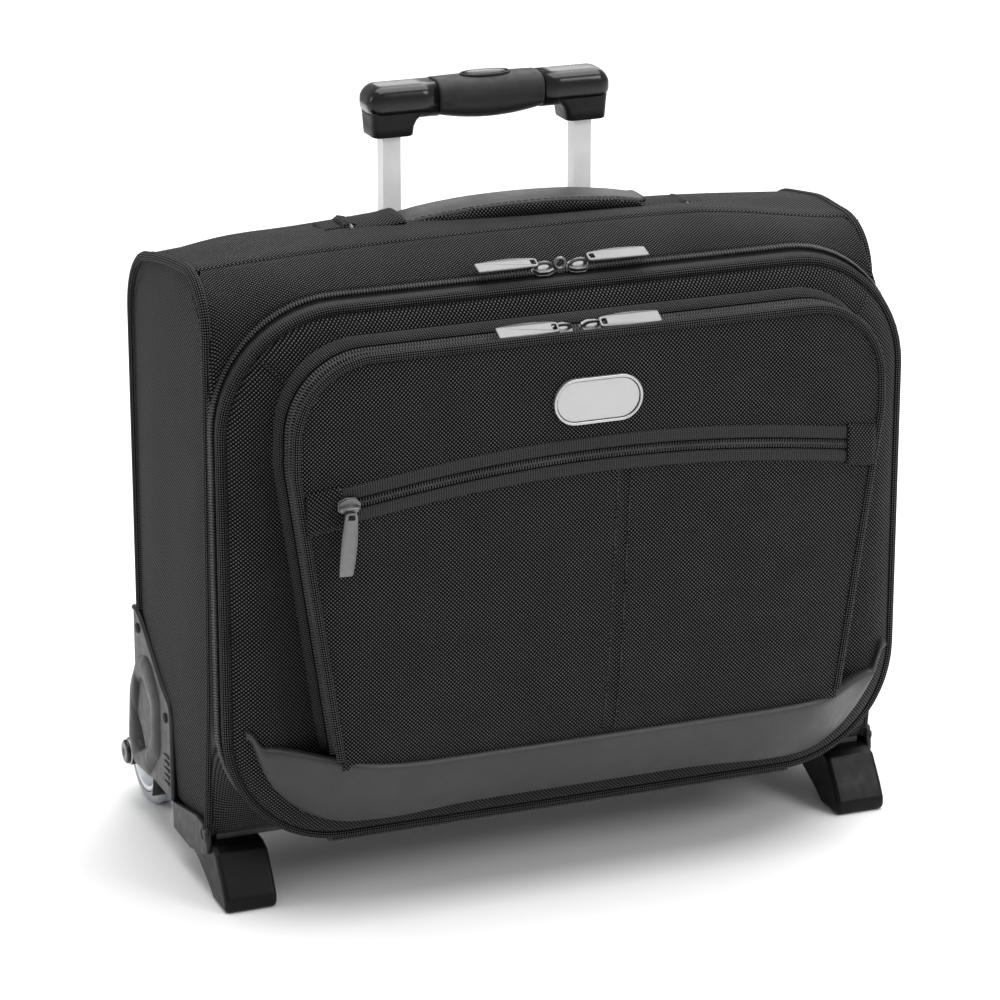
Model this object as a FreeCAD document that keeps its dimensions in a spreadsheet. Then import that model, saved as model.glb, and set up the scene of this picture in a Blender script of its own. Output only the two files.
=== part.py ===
import FreeCAD, Part
import math
import os
import Sketcher

# Rolling laptop case: millimetres, +Z up, front faces -Y, the floor is Z = 0.
# The origin is the middle of the footprint, on the floor.

DIMENSIONS = {
    # fabric body
    "half_width": 218, "wall": 4, "base_height": 40, "top_front": 393, "top_rear": 369,
    "arch_low": 332, "board_high": 358,
    "back_plane": 80, "front_top": -70, "front_waist": -62, "front_base": -51,
    "waist_height": 130, "front_round": 32, "rear_round": 42, "piping": 6,
    "base_front": -79,
    # front lid
    "lid_half": 216.5, "lid_low": 43, "lid_high": 368, "lid_round": 72,
    "lid_back": -77, "lid_face": -95, "lid_skin": 4,
    "zip_half": 218.5, "zip_high": 374, "zip_plane": -73, "zip_wide": 3.5,
    # organiser pocket on the lid
    "pocket_half_low": 160, "pocket_half_high": 185, "pocket_low": 103, "pocket_high": 350,
    "pocket_shoulder": 285, "pocket_round": 47, "pocket_face": -134, "pocket_zip": -112,
    "trim_low": 57, "trim_high": 100, "trim_foot": -114, "trim_lip": -131,
    # telescopic handle
    "tube_pitch_half": 62.5, "tube_line": 51, "inner_wide": 11.5, "inner_deep": 10,
    "middle_wide": 14.5, "middle_deep": 13, "outer_wide": 17.7, "outer_deep": 16.2,
    "tube_wall": 1.2, "outer_low": 46, "outer_high": 378, "middle_low": 50, "middle_high": 383,
    "inner_low": 92, "inner_high": 449, "bezel_top": 385,
    "grip_half": 79, "grip_deep": 26, "grip_split": 458, "grip_top": 465.5, "leg_low": 432,
    "leg_inside": 49.5, "leg_outside": 75, "sleeve_half": 34, "sleeve_skin": 1.2,
    "button_half": 14, "button_top": 468, "rod_radius": 2, "pin_radius": 2.5,
    # carry handle
    "carry_half": 80, "carry_line": 2, "carry_deep": 38, "carry_low": 386.5, "carry_high": 399.8,
    # wheels, housings and feet
    "wheel_radius": 35.5, "wheel_line": 105, "wheel_middle": 203, "wheel_wide": 18,
    "rim_radius": 27, "well_radius": 39, "axle_radius": 4, "cap_radius": 7.5,
    "foot_inside": 187, "foot_outside": 217,
    # zip pullers
    "puller_long": 39, "puller_wide": 9, "puller_thick": 1.8,
}


class Size:
    """A length that carries its sheet formula and its value together."""

    def __init__(self, formula, value):
        self.formula = formula
        self.value = value

    def combine(self, other, sign, value):
        return Size("(" + self.formula + sign + other.formula + ")", value)

    def __add__(self, other):
        other = as_size(other)
        return self.combine(other, " + ", self.value + other.value)

    def __sub__(self, other):
        other = as_size(other)
        return self.combine(other, " - ", self.value - other.value)

    def __mul__(self, other):
        other = as_size(other)
        return self.combine(other, " * ", self.value * other.value)

    def __neg__(self):
        return Size("(0 - " + self.formula + ")", -self.value)

    __radd__ = __add__
    __rmul__ = __mul__

    def __rsub__(self, other):
        return as_size(other) - self


def as_size(value):
    if isinstance(value, Size):
        return value
    return Size("(%r)" % float(value), float(value))


def make_sheet(doc):
    sheet = doc.addObject("Spreadsheet::Sheet", "Dims")
    for row, (alias, value) in enumerate(DIMENSIONS.items(), start=1):
        sheet.set("A%d" % row, alias)
        sheet.set("B%d" % row, str(value))
        sheet.setAlias("B%d" % row, alias)
    doc.recompute()
    return {alias: Size("Dims." + alias, float(value)) for alias, value in DIMENSIONS.items()}


doc = FreeCAD.newDocument("rolling_laptop_case")
D = make_sheet(doc)
nodes = {}

LEFT_RIGHT = (("left", -1), ("right", 1))
ORIGIN_PLANES = {"X": "YZ_Plane", "Y": "XZ_Plane", "Z": "XY_Plane"}
AXIS_VECTORS = {"X": (1, 0, 0), "Y": (0, 1, 0), "Z": (0, 0, 1)}


def node(name, shape_object):
    """Register a finished piece under the name of its file."""
    shape_object.Label = name
    nodes[name] = shape_object
    return shape_object


def bind(item, prop, size):
    item.setExpression(prop, as_size(size).formula)


def place(item, x=0, y=0, z=0, axis=None, angle=0):
    x, y, z = as_size(x), as_size(y), as_size(z)
    turn = FreeCAD.Rotation()
    if axis:
        turn = FreeCAD.Rotation(FreeCAD.Vector(*AXIS_VECTORS[axis]), angle)
    item.Placement = FreeCAD.Placement(FreeCAD.Vector(x.value, y.value, z.value), turn)
    for letter, size in zip("xyz", (x, y, z)):
        bind(item, "Placement.Base." + letter, size)
    return item


def span(side, near, far):
    """The X range from near to far on one side of the centre plane."""
    near, far = as_size(near), as_size(far)
    return (near, far) if side > 0 else (-far, -near)


def block(x, y, z):
    """A box between pairs of coordinates."""
    item = doc.addObject("Part::Box", "Block")
    for prop, (low, high) in zip(("Length", "Width", "Height"), (x, y, z)):
        bind(item, prop, as_size(high) - low)
    return place(item, x[0], y[0], z[0])


def rod(axis, radius, low, high, centre):
    """A cylinder along an axis; centre gives its other two coordinates in order."""
    item = doc.addObject("Part::Cylinder", "Rod")
    bind(item, "Radius", radius)
    bind(item, "Height", as_size(high) - low)
    a, b = centre
    if axis == "X":
        return place(item, low, a, b, "Y", 90)
    if axis == "Y":
        return place(item, a, low, b, "X", -90)
    return place(item, a, b, low)


def polygon_sketch(body, plane, points):
    """A closed polygon whose corners are held by constraints bound to the sheet."""
    sketch = body.newObject("Sketcher::SketchObject", "Outline")
    support = [item for item in body.Origin.OriginFeatures if item.Role == plane][0]
    sketch.AttachmentSupport = [(support, "")]
    sketch.MapMode = "FlatFace"
    corners = [(as_size(u), as_size(v)) for u, v in points]
    vectors = [FreeCAD.Vector(u.value, v.value, 0) for u, v in corners]
    count = len(vectors)
    for index in range(count):
        sketch.addGeometry(Part.LineSegment(vectors[index], vectors[(index + 1) % count]))
    for index in range(count):
        following = (index + 1) % count
        sketch.addConstraint(Sketcher.Constraint("Coincident", index, 2, following, 1))
    for index, (u, v) in enumerate(corners):
        for kind, size in (("DistanceX", u), ("DistanceY", v)):
            if size.value == 0:
                on_axis = -2 if kind == "DistanceX" else -1
                sketch.addConstraint(Sketcher.Constraint("PointOnObject", index, 1, on_axis))
                continue
            rule = sketch.addConstraint(Sketcher.Constraint(kind, -1, 1, index, 1, size.value))
            sketch.setExpression("Constraints[%d]" % rule, size.formula)
    return sketch


def round_corners(body, feature, axis, rounds):
    """Fillet the edges along an axis at given corners of the outline."""
    for (u, v), radius in rounds:
        doc.recompute()
        names = []
        for number, edge in enumerate(feature.Shape.Edges, start=1):
            if len(edge.Vertexes) != 2:
                continue
            ends = [vertex.Point for vertex in edge.Vertexes]
            flat = [{"X": (p.y, p.z), "Y": (p.x, p.z), "Z": (p.x, p.y)}[axis] for p in ends]
            if all(abs(a - as_size(u).value) < 0.01 and abs(b - as_size(v).value) < 0.01
                   for a, b in flat):
                names.append("Edge%d" % number)
        fillet = body.newObject("PartDesign::Fillet", "Round")
        fillet.Base = (feature, names)
        bind(fillet, "Radius", radius)
        feature = fillet
    return feature


def prism(axis, low, high, points, rounds=()):
    """A polygon pushed along an axis from low to high, with some corners rounded."""
    body = doc.addObject("PartDesign::Body", "Body")
    sketch = polygon_sketch(body, ORIGIN_PLANES[axis], points)
    pad = body.newObject("PartDesign::Pad", "Pad")
    pad.Profile = sketch
    pad.Reversed = axis == "Y"
    bind(pad, "Length", as_size(high) - low)
    round_corners(body, pad, axis, rounds)
    offset = {"X": (low, 0, 0), "Y": (0, low, 0), "Z": (0, 0, low)}[axis]
    return place(body, *offset)


def turned(points, centre):
    """A profile of (x, radius) points turned about an axis along X."""
    body = doc.addObject("PartDesign::Body", "Turned")
    sketch = polygon_sketch(body, "XZ_Plane", points)
    spin = body.newObject("PartDesign::Revolution", "Revolution")
    spin.Profile = sketch
    spin.ReferenceAxis = (sketch, ["H_Axis"])
    spin.Angle = 360
    return place(body, *centre)


def plate(half_low, half_high, low, high, radius_low, radius_high, y_range):
    """A rounded four-sided plate that faces the front."""
    corners = ((-half_low, low), (half_low, low), (half_high, high), (-half_high, high))
    radii = (radius_low, radius_low, radius_high, radius_high)
    rounds = [(corner, radius) for corner, radius in zip(corners, radii) if radius is not None]
    return prism("Y", y_range[0], y_range[1], corners, rounds)


def join(*items):
    whole = doc.addObject("Part::MultiFuse", "Join")
    whole.Shapes = list(items)
    return whole


def cut(base, *tools):
    remainder = doc.addObject("Part::Cut", "Cut")
    remainder.Base = base
    remainder.Tool = tools[0] if len(tools) == 1 else join(*tools)
    return remainder


def overlap(first, second):
    shared = doc.addObject("Part::MultiCommon", "Overlap")
    shared.Shapes = [first, second]
    return shared


# ---------------------------------------------------------------- fabric body

def side_profile(x_range, grow):
    """The case seen from the side, grown or shrunk, as a slab across x_range."""
    back = D["back_plane"] + grow
    points = (
        (D["front_base"] - grow, D["base_height"] - grow),
        (back, D["base_height"] - grow),
        (back, D["top_rear"] + grow),
        (D["front_top"] - grow, D["top_front"] + grow),
        (D["front_waist"] - grow, D["waist_height"]),
    )
    rounds = (
        (points[2], D["rear_round"] + grow),
        (points[3], D["front_round"] + grow),
    )
    return prism("X", x_range[0], x_range[1], points, rounds)


def wheel_well(side):
    low, high = span(side, D["wheel_middle"] - 17, D["half_width"] + 6)
    return rod("X", D["well_radius"] + 4, low, high, (D["wheel_line"], D["wheel_radius"]))


def build_shell():
    inside = D["half_width"] - D["wall"]
    full = (-inside, inside)
    for name, side in LEFT_RIGHT:
        slab = side_profile(span(side, inside, D["half_width"]), 0)
        node("side_panel_" + name, cut(slab, wheel_well(side)))
        rim = span(side, D["half_width"] - 3, D["half_width"] + 3)
        reach = D["piping"] * 0.5
        loop = cut(side_profile(rim, reach), side_profile(span(side, inside - 9, 240), 0.2))
        trimmed = cut(loop, wheel_well(side), block((-300, 300), (-100, 120), (20, 48)),
                      block((-300, 300), (12.5, 120), (40, 139)))
        node("side_piping_" + name, trimmed)

    wells = [wheel_well(side) for _, side in LEFT_RIGHT]
    node("back_panel", cut(
        block(full, (D["back_plane"] - D["wall"], D["back_plane"]),
              (D["base_height"], D["arch_low"])), *wells))
    wells = [wheel_well(side) for _, side in LEFT_RIGHT]
    node("base_board", cut(
        block(full, (D["base_front"], D["back_plane"] - D["wall"]),
              (D["base_height"] - D["wall"], D["base_height"])),
        block((-300, -152), (-100, -51), (0, 100)),
        block((152, 300), (-100, -51), (0, 100)), *wells))

    arch = cut(side_profile(full, 0), side_profile(full, D["wall"] * -1))
    bezel_slot = block((-82, 82), (D["tube_line"] - 13.5, D["tube_line"] + 13.5), (360, 400))
    node("top_panel", cut(
        arch, bezel_slot,
        block((-300, 300), (-120, 120), (0, D["arch_low"]))))

    frame_points = (
        (D["front_base"], D["base_height"]),
        (D["front_base"] + D["wall"], D["base_height"]),
        (D["front_waist"] + D["wall"], D["waist_height"]),
        (D["front_top"] + D["wall"] + 0.8, D["arch_low"]),
        (D["front_top"] + 0.8, D["arch_low"]),
        (D["front_waist"], D["waist_height"]),
    )
    frame = prism("X", full[0], full[1], frame_points)
    opening = plate(D["lid_half"] - 14, D["lid_half"] - 14, D["lid_low"] + 8,
                    D["lid_high"] + 10, D["lid_round"] - 10, None, (-120, 0))
    node("front_frame", cut(frame, opening))

    node("laptop_divider", block((-198, 198), (10, 18), (D["base_height"] + 1, 300)))
    node("handle_cover_board", block(
        (-inside, inside), (36, 38), (D["base_height"] + 1, D["board_high"])))


# ---------------------------------------------------------------- lid and pocket

def lid_plate(shrink, y_range):
    half = D["lid_half"] - shrink
    radius = D["lid_round"] - shrink
    return plate(half, half, D["lid_low"] + shrink, D["lid_high"] - shrink,
                 radius, radius, y_range)


def zip_plate(shrink, y_range):
    half = D["zip_half"] - shrink
    radius = D["lid_round"] + 2 - shrink
    return plate(half, half, D["lid_low"] + shrink, D["zip_high"] - shrink,
                 radius, radius, y_range)


def pocket_plate(shrink, y_range):
    """The pocket's outline: narrow at the base, widest at the shoulder."""
    low_half = D["pocket_half_low"] - shrink
    high_half = D["pocket_half_high"] - shrink
    low = D["pocket_low"]
    high = D["pocket_high"] - shrink
    points = (
        (-low_half, low), (low_half, low), (high_half, D["pocket_shoulder"]),
        (high_half - 2, high), (-high_half + 2, high), (-high_half, D["pocket_shoulder"]),
    )
    radius = D["pocket_round"] - shrink
    return prism("Y", y_range[0], y_range[1], points, ((points[3], radius), (points[4], radius)))


def build_lid():
    face = D["lid_face"]
    skin = D["lid_skin"]
    node("lid_panel", lid_plate(0.5, (face, face + skin)))
    node("lid_wall", cut(lid_plate(0, (face + skin, D["lid_back"])),
                         lid_plate(skin, (face - 5, 0))))
    ring = cut(zip_plate(0, (D["zip_plane"] - D["zip_wide"], D["zip_plane"])),
               zip_plate(3, (-100, 0)))
    node("main_zip_coil", cut(ring, block((-300, 300), (-120, 0), (0, 95))))

    trim_points = (
        (face, D["trim_low"]), (face, D["trim_high"] - 0.5), (D["trim_lip"], D["trim_high"]),
        (D["trim_foot"], D["trim_low"]),
    )
    trim = prism("X", -210, 210, trim_points)
    node("trim_band", overlap(trim, lid_plate(3, (-140, D["lid_face"]))))
    base_wall = cut(pocket_plate(0, (D["pocket_zip"] + 2, face)), pocket_plate(skin, (-140, 0)))
    node("pocket_base_wall", base_wall)
    coil = cut(pocket_plate(-0.5, (D["pocket_zip"] - 1.5, D["pocket_zip"] + 1.8)),
               pocket_plate(2.5, (-140, 0)))
    node("pocket_zip_coil", coil)


def build_pocket():
    face = D["pocket_face"]
    skin = D["lid_skin"]
    node("pocket_panel", pocket_plate(0, (face, face + skin)))
    wall = cut(pocket_plate(0, (face + skin, D["pocket_zip"] - 2)), pocket_plate(skin, (-140, 0)))
    node("pocket_wall", wall)
    badge = prism("Y", face - 1.6, face, ((-28, 298), (28, 298), (28, 326), (-28, 326)),
                  (((-28, 298), 13.9), ((28, 298), 13.9), ((28, 326), 13.9), ((-28, 326), 13.9)))
    node("badge_plate", badge)


# ---------------------------------------------------------------- zip hardware

def slider_shape():
    """A zip slider lying on its coil, long axis along X, standing on Z = 0."""
    wing = prism("X", -7, 7, ((-5, 0), (5, 0), (4, 3.4), (-4, 3.4)))
    bridge = block((-4, 4), (-1.6, 1.6), (3, 6.2))
    window = block((-2, 2), (-3, 3), (3.4, 4.9))
    return cut(join(wing, bridge), window)


def puller_shape(direction):
    """A flat puller whose eye is at the origin and whose tongue points along X."""
    long, wide = D["puller_long"], D["puller_wide"] * 0.5
    x_range = (-2, long - 2) if direction > 0 else (2 - long, 2)
    tongue = block(x_range, (-wide, wide), (0, D["puller_thick"]))
    eye = block((-1.2, 1.2), (-3.5, 3.5), (-2, D["puller_thick"] + 2))
    return cut(tongue, eye)


def build_zip_pulls():
    tilt = 24
    lift = 6.4
    lean, rise = lift * math.sin(math.radians(tilt)), lift * math.cos(math.radians(tilt))
    rows = (
        ("main", -2, -74.5, 375.2),
        ("pocket", -8, -112, 352.5),
    )
    for row, middle, y, z in rows:
        for name, side in LEFT_RIGHT:
            slider = slider_shape()
            place(slider, middle + side * 11, y, z, "X", tilt)
            node("%s_slider_%s" % (row, name), slider)
            puller = puller_shape(side)
            place(puller, middle + side * 17.5, y - lean, z + rise, "X", tilt)
            node("%s_puller_%s" % (row, name), puller)


def build_slip_zip():
    slider = slider_shape()
    middle, top, front = -157, 267, -140.4
    place(slider, middle, D["pocket_face"] - 0.2, top, "X", 90)
    node("slip_slider", slider)
    wide = D["puller_wide"] * 0.5
    hang = top - 2.5
    tongue = block((middle - wide, middle + wide), (front, front + D["puller_thick"]),
                   (hang - D["puller_long"], hang))
    eye = block((middle - 3.5, middle + 3.5), (front - 5, front + 5), (hang - 3.7, hang - 1.7))
    node("slip_puller", cut(tongue, eye))


def build_eyelet():
    middle = (-2, 378.8)
    node("padlock_eyelet", cut(rod("Y", 3.4, -75.5, -72.5, middle), rod("Y", 2.0, -80, -70, middle)))


# ---------------------------------------------------------------- telescopic handle

def tube(side, wide, deep, low, high, wall):
    centre = D["tube_pitch_half"] * side
    outer = block((centre - wide * 0.5, centre + wide * 0.5),
                  (D["tube_line"] - deep * 0.5, D["tube_line"] + deep * 0.5), (low, high))
    bore_wide = wide - wall * 2
    bore_deep = deep - wall * 2
    bore = block((centre - bore_wide * 0.5, centre + bore_wide * 0.5),
                 (D["tube_line"] - bore_deep * 0.5, D["tube_line"] + bore_deep * 0.5),
                 (as_size(low) - 5, as_size(high) + 5))
    return cut(outer, bore)


def tube_hole(side, wide, deep, low, high):
    centre = D["tube_pitch_half"] * side
    return block((centre - wide * 0.5, centre + wide * 0.5),
                 (D["tube_line"] - deep * 0.5, D["tube_line"] + deep * 0.5), (low, high))


def build_tubes():
    for name, side in LEFT_RIGHT:
        node("outer_tube_" + name, tube(side, D["outer_wide"], D["outer_deep"],
                                        D["outer_low"], D["outer_high"], D["tube_wall"] + 0.1))
        node("middle_tube_" + name, tube(side, D["middle_wide"], D["middle_deep"],
                                         D["middle_low"], D["middle_high"], D["tube_wall"]))
        pin_line = (D["tube_line"], D["inner_low"] + 12)
        pin_hole = rod("X", D["pin_radius"] + 0.1, *span(side, 66, 70), pin_line)
        node("inner_tube_" + name, cut(tube(side, D["inner_wide"], D["inner_deep"],
                                            D["inner_low"], D["inner_high"], D["tube_wall"]),
                                       pin_hole))
        node("lock_pin_" + name, rod("X", D["pin_radius"], *span(side, 63, 68.4), pin_line))

    shoes = []
    for _, side in LEFT_RIGHT:
        centre = D["tube_pitch_half"] * side
        shoes.append(block((centre - 14, centre + 14), (D["tube_line"] - 13, D["tube_line"] + 13),
                           (D["base_height"], D["outer_low"])))
    node("tube_shoes", join(*shoes))

    bezel = prism("Z", 366, D["bezel_top"],
                  ((-80, D["tube_line"] - 12), (80, D["tube_line"] - 12),
                   (80, D["tube_line"] + 12), (-80, D["tube_line"] + 12)),
                  [((x, D["tube_line"] + y), 6) for x in (-80, 80) for y in (-12, 12)])
    holes = []
    for _, side in LEFT_RIGHT:
        holes.append(tube_hole(side, D["outer_wide"], D["outer_deep"], 300, D["outer_high"]))
        holes.append(tube_hole(side, D["middle_wide"] + 0.6, D["middle_deep"] + 0.6, 300, 400))
    node("handle_bezel", cut(bezel, *holes))


def grip_slab(points, rounds=()):
    half = D["grip_deep"] * 0.5
    return prism("Y", D["tube_line"] - half, D["tube_line"] + half, points, rounds)


def build_grip():
    split, half = D["grip_split"], D["grip_half"]
    inside, outside, low = D["leg_inside"], D["leg_outside"], D["leg_low"]
    belly = D["leg_low"] + 14
    lower = grip_slab((
        (-half, split), (-half, split - 6), (-outside, low), (-inside, low),
        (-inside + 4, low + 10), (-D["sleeve_half"], belly), (D["sleeve_half"], belly),
        (inside - 4, low + 10), (inside, low), (outside, low), (half, split - 6), (half, split),
    ))
    upper = grip_slab((
        (-half, split), (half, split), (half - 3, D["grip_top"] - 4),
        (half - 11, D["grip_top"]), (11 - half, D["grip_top"]), (3 - half, D["grip_top"] - 4),
    ))
    tube_y = (D["tube_line"] - 7, D["tube_line"] + 7)
    cavity_top = D["grip_top"] - 3
    sockets = [tube_hole(side, D["inner_wide"], D["inner_deep"], 400, 455)
               for _, side in LEFT_RIGHT]
    button_well = button_block(0.4, 455, 480)
    for name, shell, openings in (("lower", lower, sockets), ("upper", upper, [button_well])):
        cavity = block((-70, 70), tube_y, (450, cavity_top))
        node("grip_%s_shell" % name, cut(shell, cavity, *openings))

    skin = D["sleeve_skin"]
    deep = D["grip_deep"] * 0.5
    sleeve = block((-D["sleeve_half"], D["sleeve_half"]),
                   (D["tube_line"] - deep - skin, D["tube_line"] + deep + skin),
                   (belly - 3, D["grip_top"] + skin))
    core = block((-50, 50), (D["tube_line"] - deep, D["tube_line"] + deep),
                 (belly, D["grip_top"]))
    node("grip_sleeve", cut(sleeve, core, button_block(0.4, 460, 480)))

    button = join(button_block(0, 462.5, D["button_top"]),
                  block((-5, 5), (D["tube_line"] - 3, D["tube_line"] + 3), (457.1, 463)))
    node("release_button", button)

    yoke = block((-65, 65), (D["tube_line"] - 3, D["tube_line"] + 3), (454.5, 457))
    rods = [rod("Z", D["rod_radius"], D["inner_low"] + 22, 455,
                (D["tube_pitch_half"] * side, D["tube_line"])) for _, side in LEFT_RIGHT]
    node("release_rods", join(yoke, *rods))
    node("button_spring", button_spring())


def button_block(gap, low, high):
    half = D["button_half"] + gap
    deep = as_size(6) + gap
    corners = [(x, y) for x, y in ((-half, D["tube_line"] - deep), (half, D["tube_line"] - deep),
                                   (half, D["tube_line"] + deep), (-half, D["tube_line"] + deep))]
    return prism("Z", low, high, corners, [(corner, deep - 0.1) for corner in corners])


def button_spring():
    """A bowed leaf spring that stands on the cavity floor under the yoke."""
    foot, crown, leaf = 450.2, 453.9, 0.5
    points = (
        (12, foot), (16, foot), (24, crown), (30, crown), (38, foot), (42, foot),
        (42, foot + leaf), (38.3, foot + leaf), (30.2, crown + leaf), (23.8, crown + leaf),
        (15.7, foot + leaf), (12, foot + leaf),
    )
    return prism("Y", D["tube_line"] - 2, D["tube_line"] + 2, points)


# ---------------------------------------------------------------- carry handle

def build_carry_handle():
    half, line = D["carry_half"], D["carry_line"]
    low, high = D["carry_low"], D["carry_high"]
    deep = D["carry_deep"] * 0.5
    pad = prism("X", -half, half,
                ((line - deep, low), (line + deep, low), (line + deep, low + 7),
                 (line + deep - 6, high), (line - deep + 6, high), (line - deep, low + 7)))
    node("carry_handle_pad", pad)
    strap = block((-half - 6, half + 6), (line - 12, line + 12), (high, high + 2))
    node("carry_handle_strap", strap)
    ends, loops = [], []
    for _, side in LEFT_RIGHT:
        x = span(side, half + 8, half + 26)
        ends.append(block(x, (line - 11, line + 11), (384.2, 386.7)))
        bar = span(side, half + 27, half + 31)
        ring = cut(block(bar, (line - 15, line + 15), (384, 393)),
                   block(bar, (line - 12, line + 12), (385, 391)))
        loops.append(ring)
    node("handle_strap_ends", join(*ends))
    node("strap_loops", join(*loops))


# ---------------------------------------------------------------- wheels and feet

def build_wheels():
    wide = D["wheel_wide"] * 0.5
    for name, side in LEFT_RIGHT:
        centre = (D["wheel_middle"] * side, D["wheel_line"], D["wheel_radius"])
        rim = D["rim_radius"]
        bore = D["axle_radius"] + 0.05
        hub = turned(((-wide, bore), (wide, bore), (wide, 9), (3, 10), (3, rim - 3), (wide, rim - 2),
                      (wide, rim), (-wide, rim), (-wide, rim - 2), (-3, rim - 3), (-3, 10),
                      (-wide, 9)), centre)
        node("wheel_hub_" + name, hub)
        tread = D["wheel_radius"]
        tyre = turned(((-wide, rim), (wide, rim), (wide, tread - 4), (wide - 1.2, tread - 1.2),
                       (wide - 4, tread), (4 - wide, tread), (1.2 - wide, tread - 1.2),
                       (-wide, tread - 4)), centre)
        node("tyre_" + name, tyre)


def housing_plate(side):
    """The moulded cheek on the side panel, with the looped fairing over the wheel."""
    x = span(side, D["half_width"], D["half_width"] + 4)
    cheek = prism("X", x[0], x[1], ((13, 34), (70, 34), (89, 70), (89, 138), (80, 138),
                                    (30, 108), (13, 96)), (((13, 96), 10),))
    fairing = prism("X", x[0], x[1], ((58, 42), (84, 33), (104, 27), (114, 38), (104, 62),
                                      (94, 90), (77, 110), (57, 104)))
    window = prism("X", x[0] - 5, x[1] + 5, ((56, 70), (76, 52), (88, 60), (80, 90), (64, 94)),
                   (((56, 70), 5), ((76, 52), 4), ((88, 60), 4), ((80, 90), 5), ((64, 94), 5)))
    boss = rod("X", 9, *span(side, D["wheel_middle"] + 11, D["half_width"] + 4),
               (D["wheel_line"], D["wheel_radius"]))
    return cut(join(cheek, fairing, boss), window)


def build_housings():
    axles = []
    screws = []
    for name, side in LEFT_RIGHT:
        line, height = D["wheel_line"], D["wheel_radius"]
        x = span(side, D["wheel_middle"] - 16.5, D["half_width"])
        shell = cut(rod("X", D["well_radius"] + 3, x[0], x[1], (line, height)),
                    rod("X", D["well_radius"], x[0] - 9, x[1] + 9, (line, height)))
        arch = overlap(shell, block((-300, 300), (40, 112), (22, 90)))
        cheek_x = span(side, D["wheel_middle"] - 16.5, D["wheel_middle"] - 13)
        disc = rod("X", D["well_radius"] + 3, cheek_x[0], cheek_x[1], (line, height))
        inner = overlap(disc, block((-300, 300), (40, 122), (22, 90)))
        axle_hole = rod("X", D["axle_radius"], *span(side, 170, 240), (line, height))
        whole = cut(join(arch, inner, housing_plate(side)), axle_hole)
        node("wheel_housing_" + name, whole)
        start = D["wheel_middle"] - 16.5
        pin = rod("X", D["axle_radius"], *span(side, start, D["half_width"] + 4), (line, height))
        cap = rod("X", D["cap_radius"], *span(side, D["half_width"] + 4, D["half_width"] + 6),
                  (line, height))
        axles.append(join(pin, cap))

        foot_x = span(side, D["foot_inside"], D["foot_outside"])
        sole = prism("X", foot_x[0], foot_x[1], (
            (-82, 0), (-55, 0), (-47, 5), (-28, 15), (14, 20), (24, 36), (-51, 36), (-58, 32),
            (-67, 18)), (((-67, 18), 20), ((-28, 15), 20)))
        corner_x = span(side, D["foot_outside"], D["half_width"] + 4)
        corner = prism("X", corner_x[0], corner_x[1], (
            (-58, 30), (-20, 19), (12.5, 20), (12.5, 38), (-38, 47.5), (-56, 47.5)))
        clearance = side_profile(span(side, D["foot_outside"] - 1, D["half_width"]), 0)
        node("front_foot_" + name, join(sole, cut(corner, clearance)))
        for y, z in ((24, 60), (24, 88), (78, 126)):
            screws.append(rod("X", 3.2, *span(side, D["half_width"] + 4, D["half_width"] + 5.4),
                              (y, z)))
    node("wheel_axles", join(*axles))
    node("housing_screws", join(*screws))


# ---------------------------------------------------------------- build and write

build_shell()
build_lid()
build_pocket()
build_zip_pulls()
build_slip_zip()
build_eyelet()
build_tubes()
build_grip()
build_carry_handle()
build_wheels()
build_housings()
doc.recompute()

for item in doc.Objects:
    if "Invalid" in item.State or "Error" in item.State:
        raise RuntimeError("%s (%s) failed: %s" % (item.Label, item.TypeId, item.State))
for name, item in nodes.items():
    if item.Shape.isNull() or not item.Shape.isValid():
        raise RuntimeError(name + " has no valid shape")

os.makedirs("parts", exist_ok=True)
for name, item in nodes.items():
    item.Shape.exportStep("parts/" + name + ".step")
print("wrote %d parts" % len(nodes))
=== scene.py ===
import math

import bmesh
import bpy
import numpy as np
from mathutils import Matrix, Vector
from mathutils.bvhtree import BVHTree

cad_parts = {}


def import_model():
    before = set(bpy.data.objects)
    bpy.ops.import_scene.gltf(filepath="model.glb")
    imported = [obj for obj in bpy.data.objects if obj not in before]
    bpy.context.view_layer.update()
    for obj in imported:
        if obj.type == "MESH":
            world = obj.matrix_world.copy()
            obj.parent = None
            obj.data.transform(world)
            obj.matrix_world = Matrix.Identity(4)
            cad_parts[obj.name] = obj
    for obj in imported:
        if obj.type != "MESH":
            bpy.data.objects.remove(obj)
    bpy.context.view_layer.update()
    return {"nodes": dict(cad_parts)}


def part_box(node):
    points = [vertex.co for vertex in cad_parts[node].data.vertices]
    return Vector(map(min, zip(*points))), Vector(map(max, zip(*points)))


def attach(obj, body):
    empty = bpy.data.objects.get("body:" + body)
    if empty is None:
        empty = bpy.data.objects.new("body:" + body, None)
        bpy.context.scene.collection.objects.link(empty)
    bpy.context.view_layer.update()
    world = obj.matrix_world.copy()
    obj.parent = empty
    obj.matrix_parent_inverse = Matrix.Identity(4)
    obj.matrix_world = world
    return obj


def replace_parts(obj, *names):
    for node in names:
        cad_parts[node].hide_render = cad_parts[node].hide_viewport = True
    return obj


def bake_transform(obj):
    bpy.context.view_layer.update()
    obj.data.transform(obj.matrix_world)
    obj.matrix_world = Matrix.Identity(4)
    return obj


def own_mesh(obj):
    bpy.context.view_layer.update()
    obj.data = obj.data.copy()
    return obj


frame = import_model()

# Lengths are in metres. Places come from the CAD nodes' boxes.
MM = 0.001
SIDES = (("left", -1), ("right", 1))

panel_lo, panel_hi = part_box("side_panel_right")
lid_lo, lid_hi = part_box("lid_wall")
zip_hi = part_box("main_zip_coil")[1]
pocket_lo, pocket_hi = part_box("pocket_panel")
trim_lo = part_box("trim_band")[0]

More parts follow.
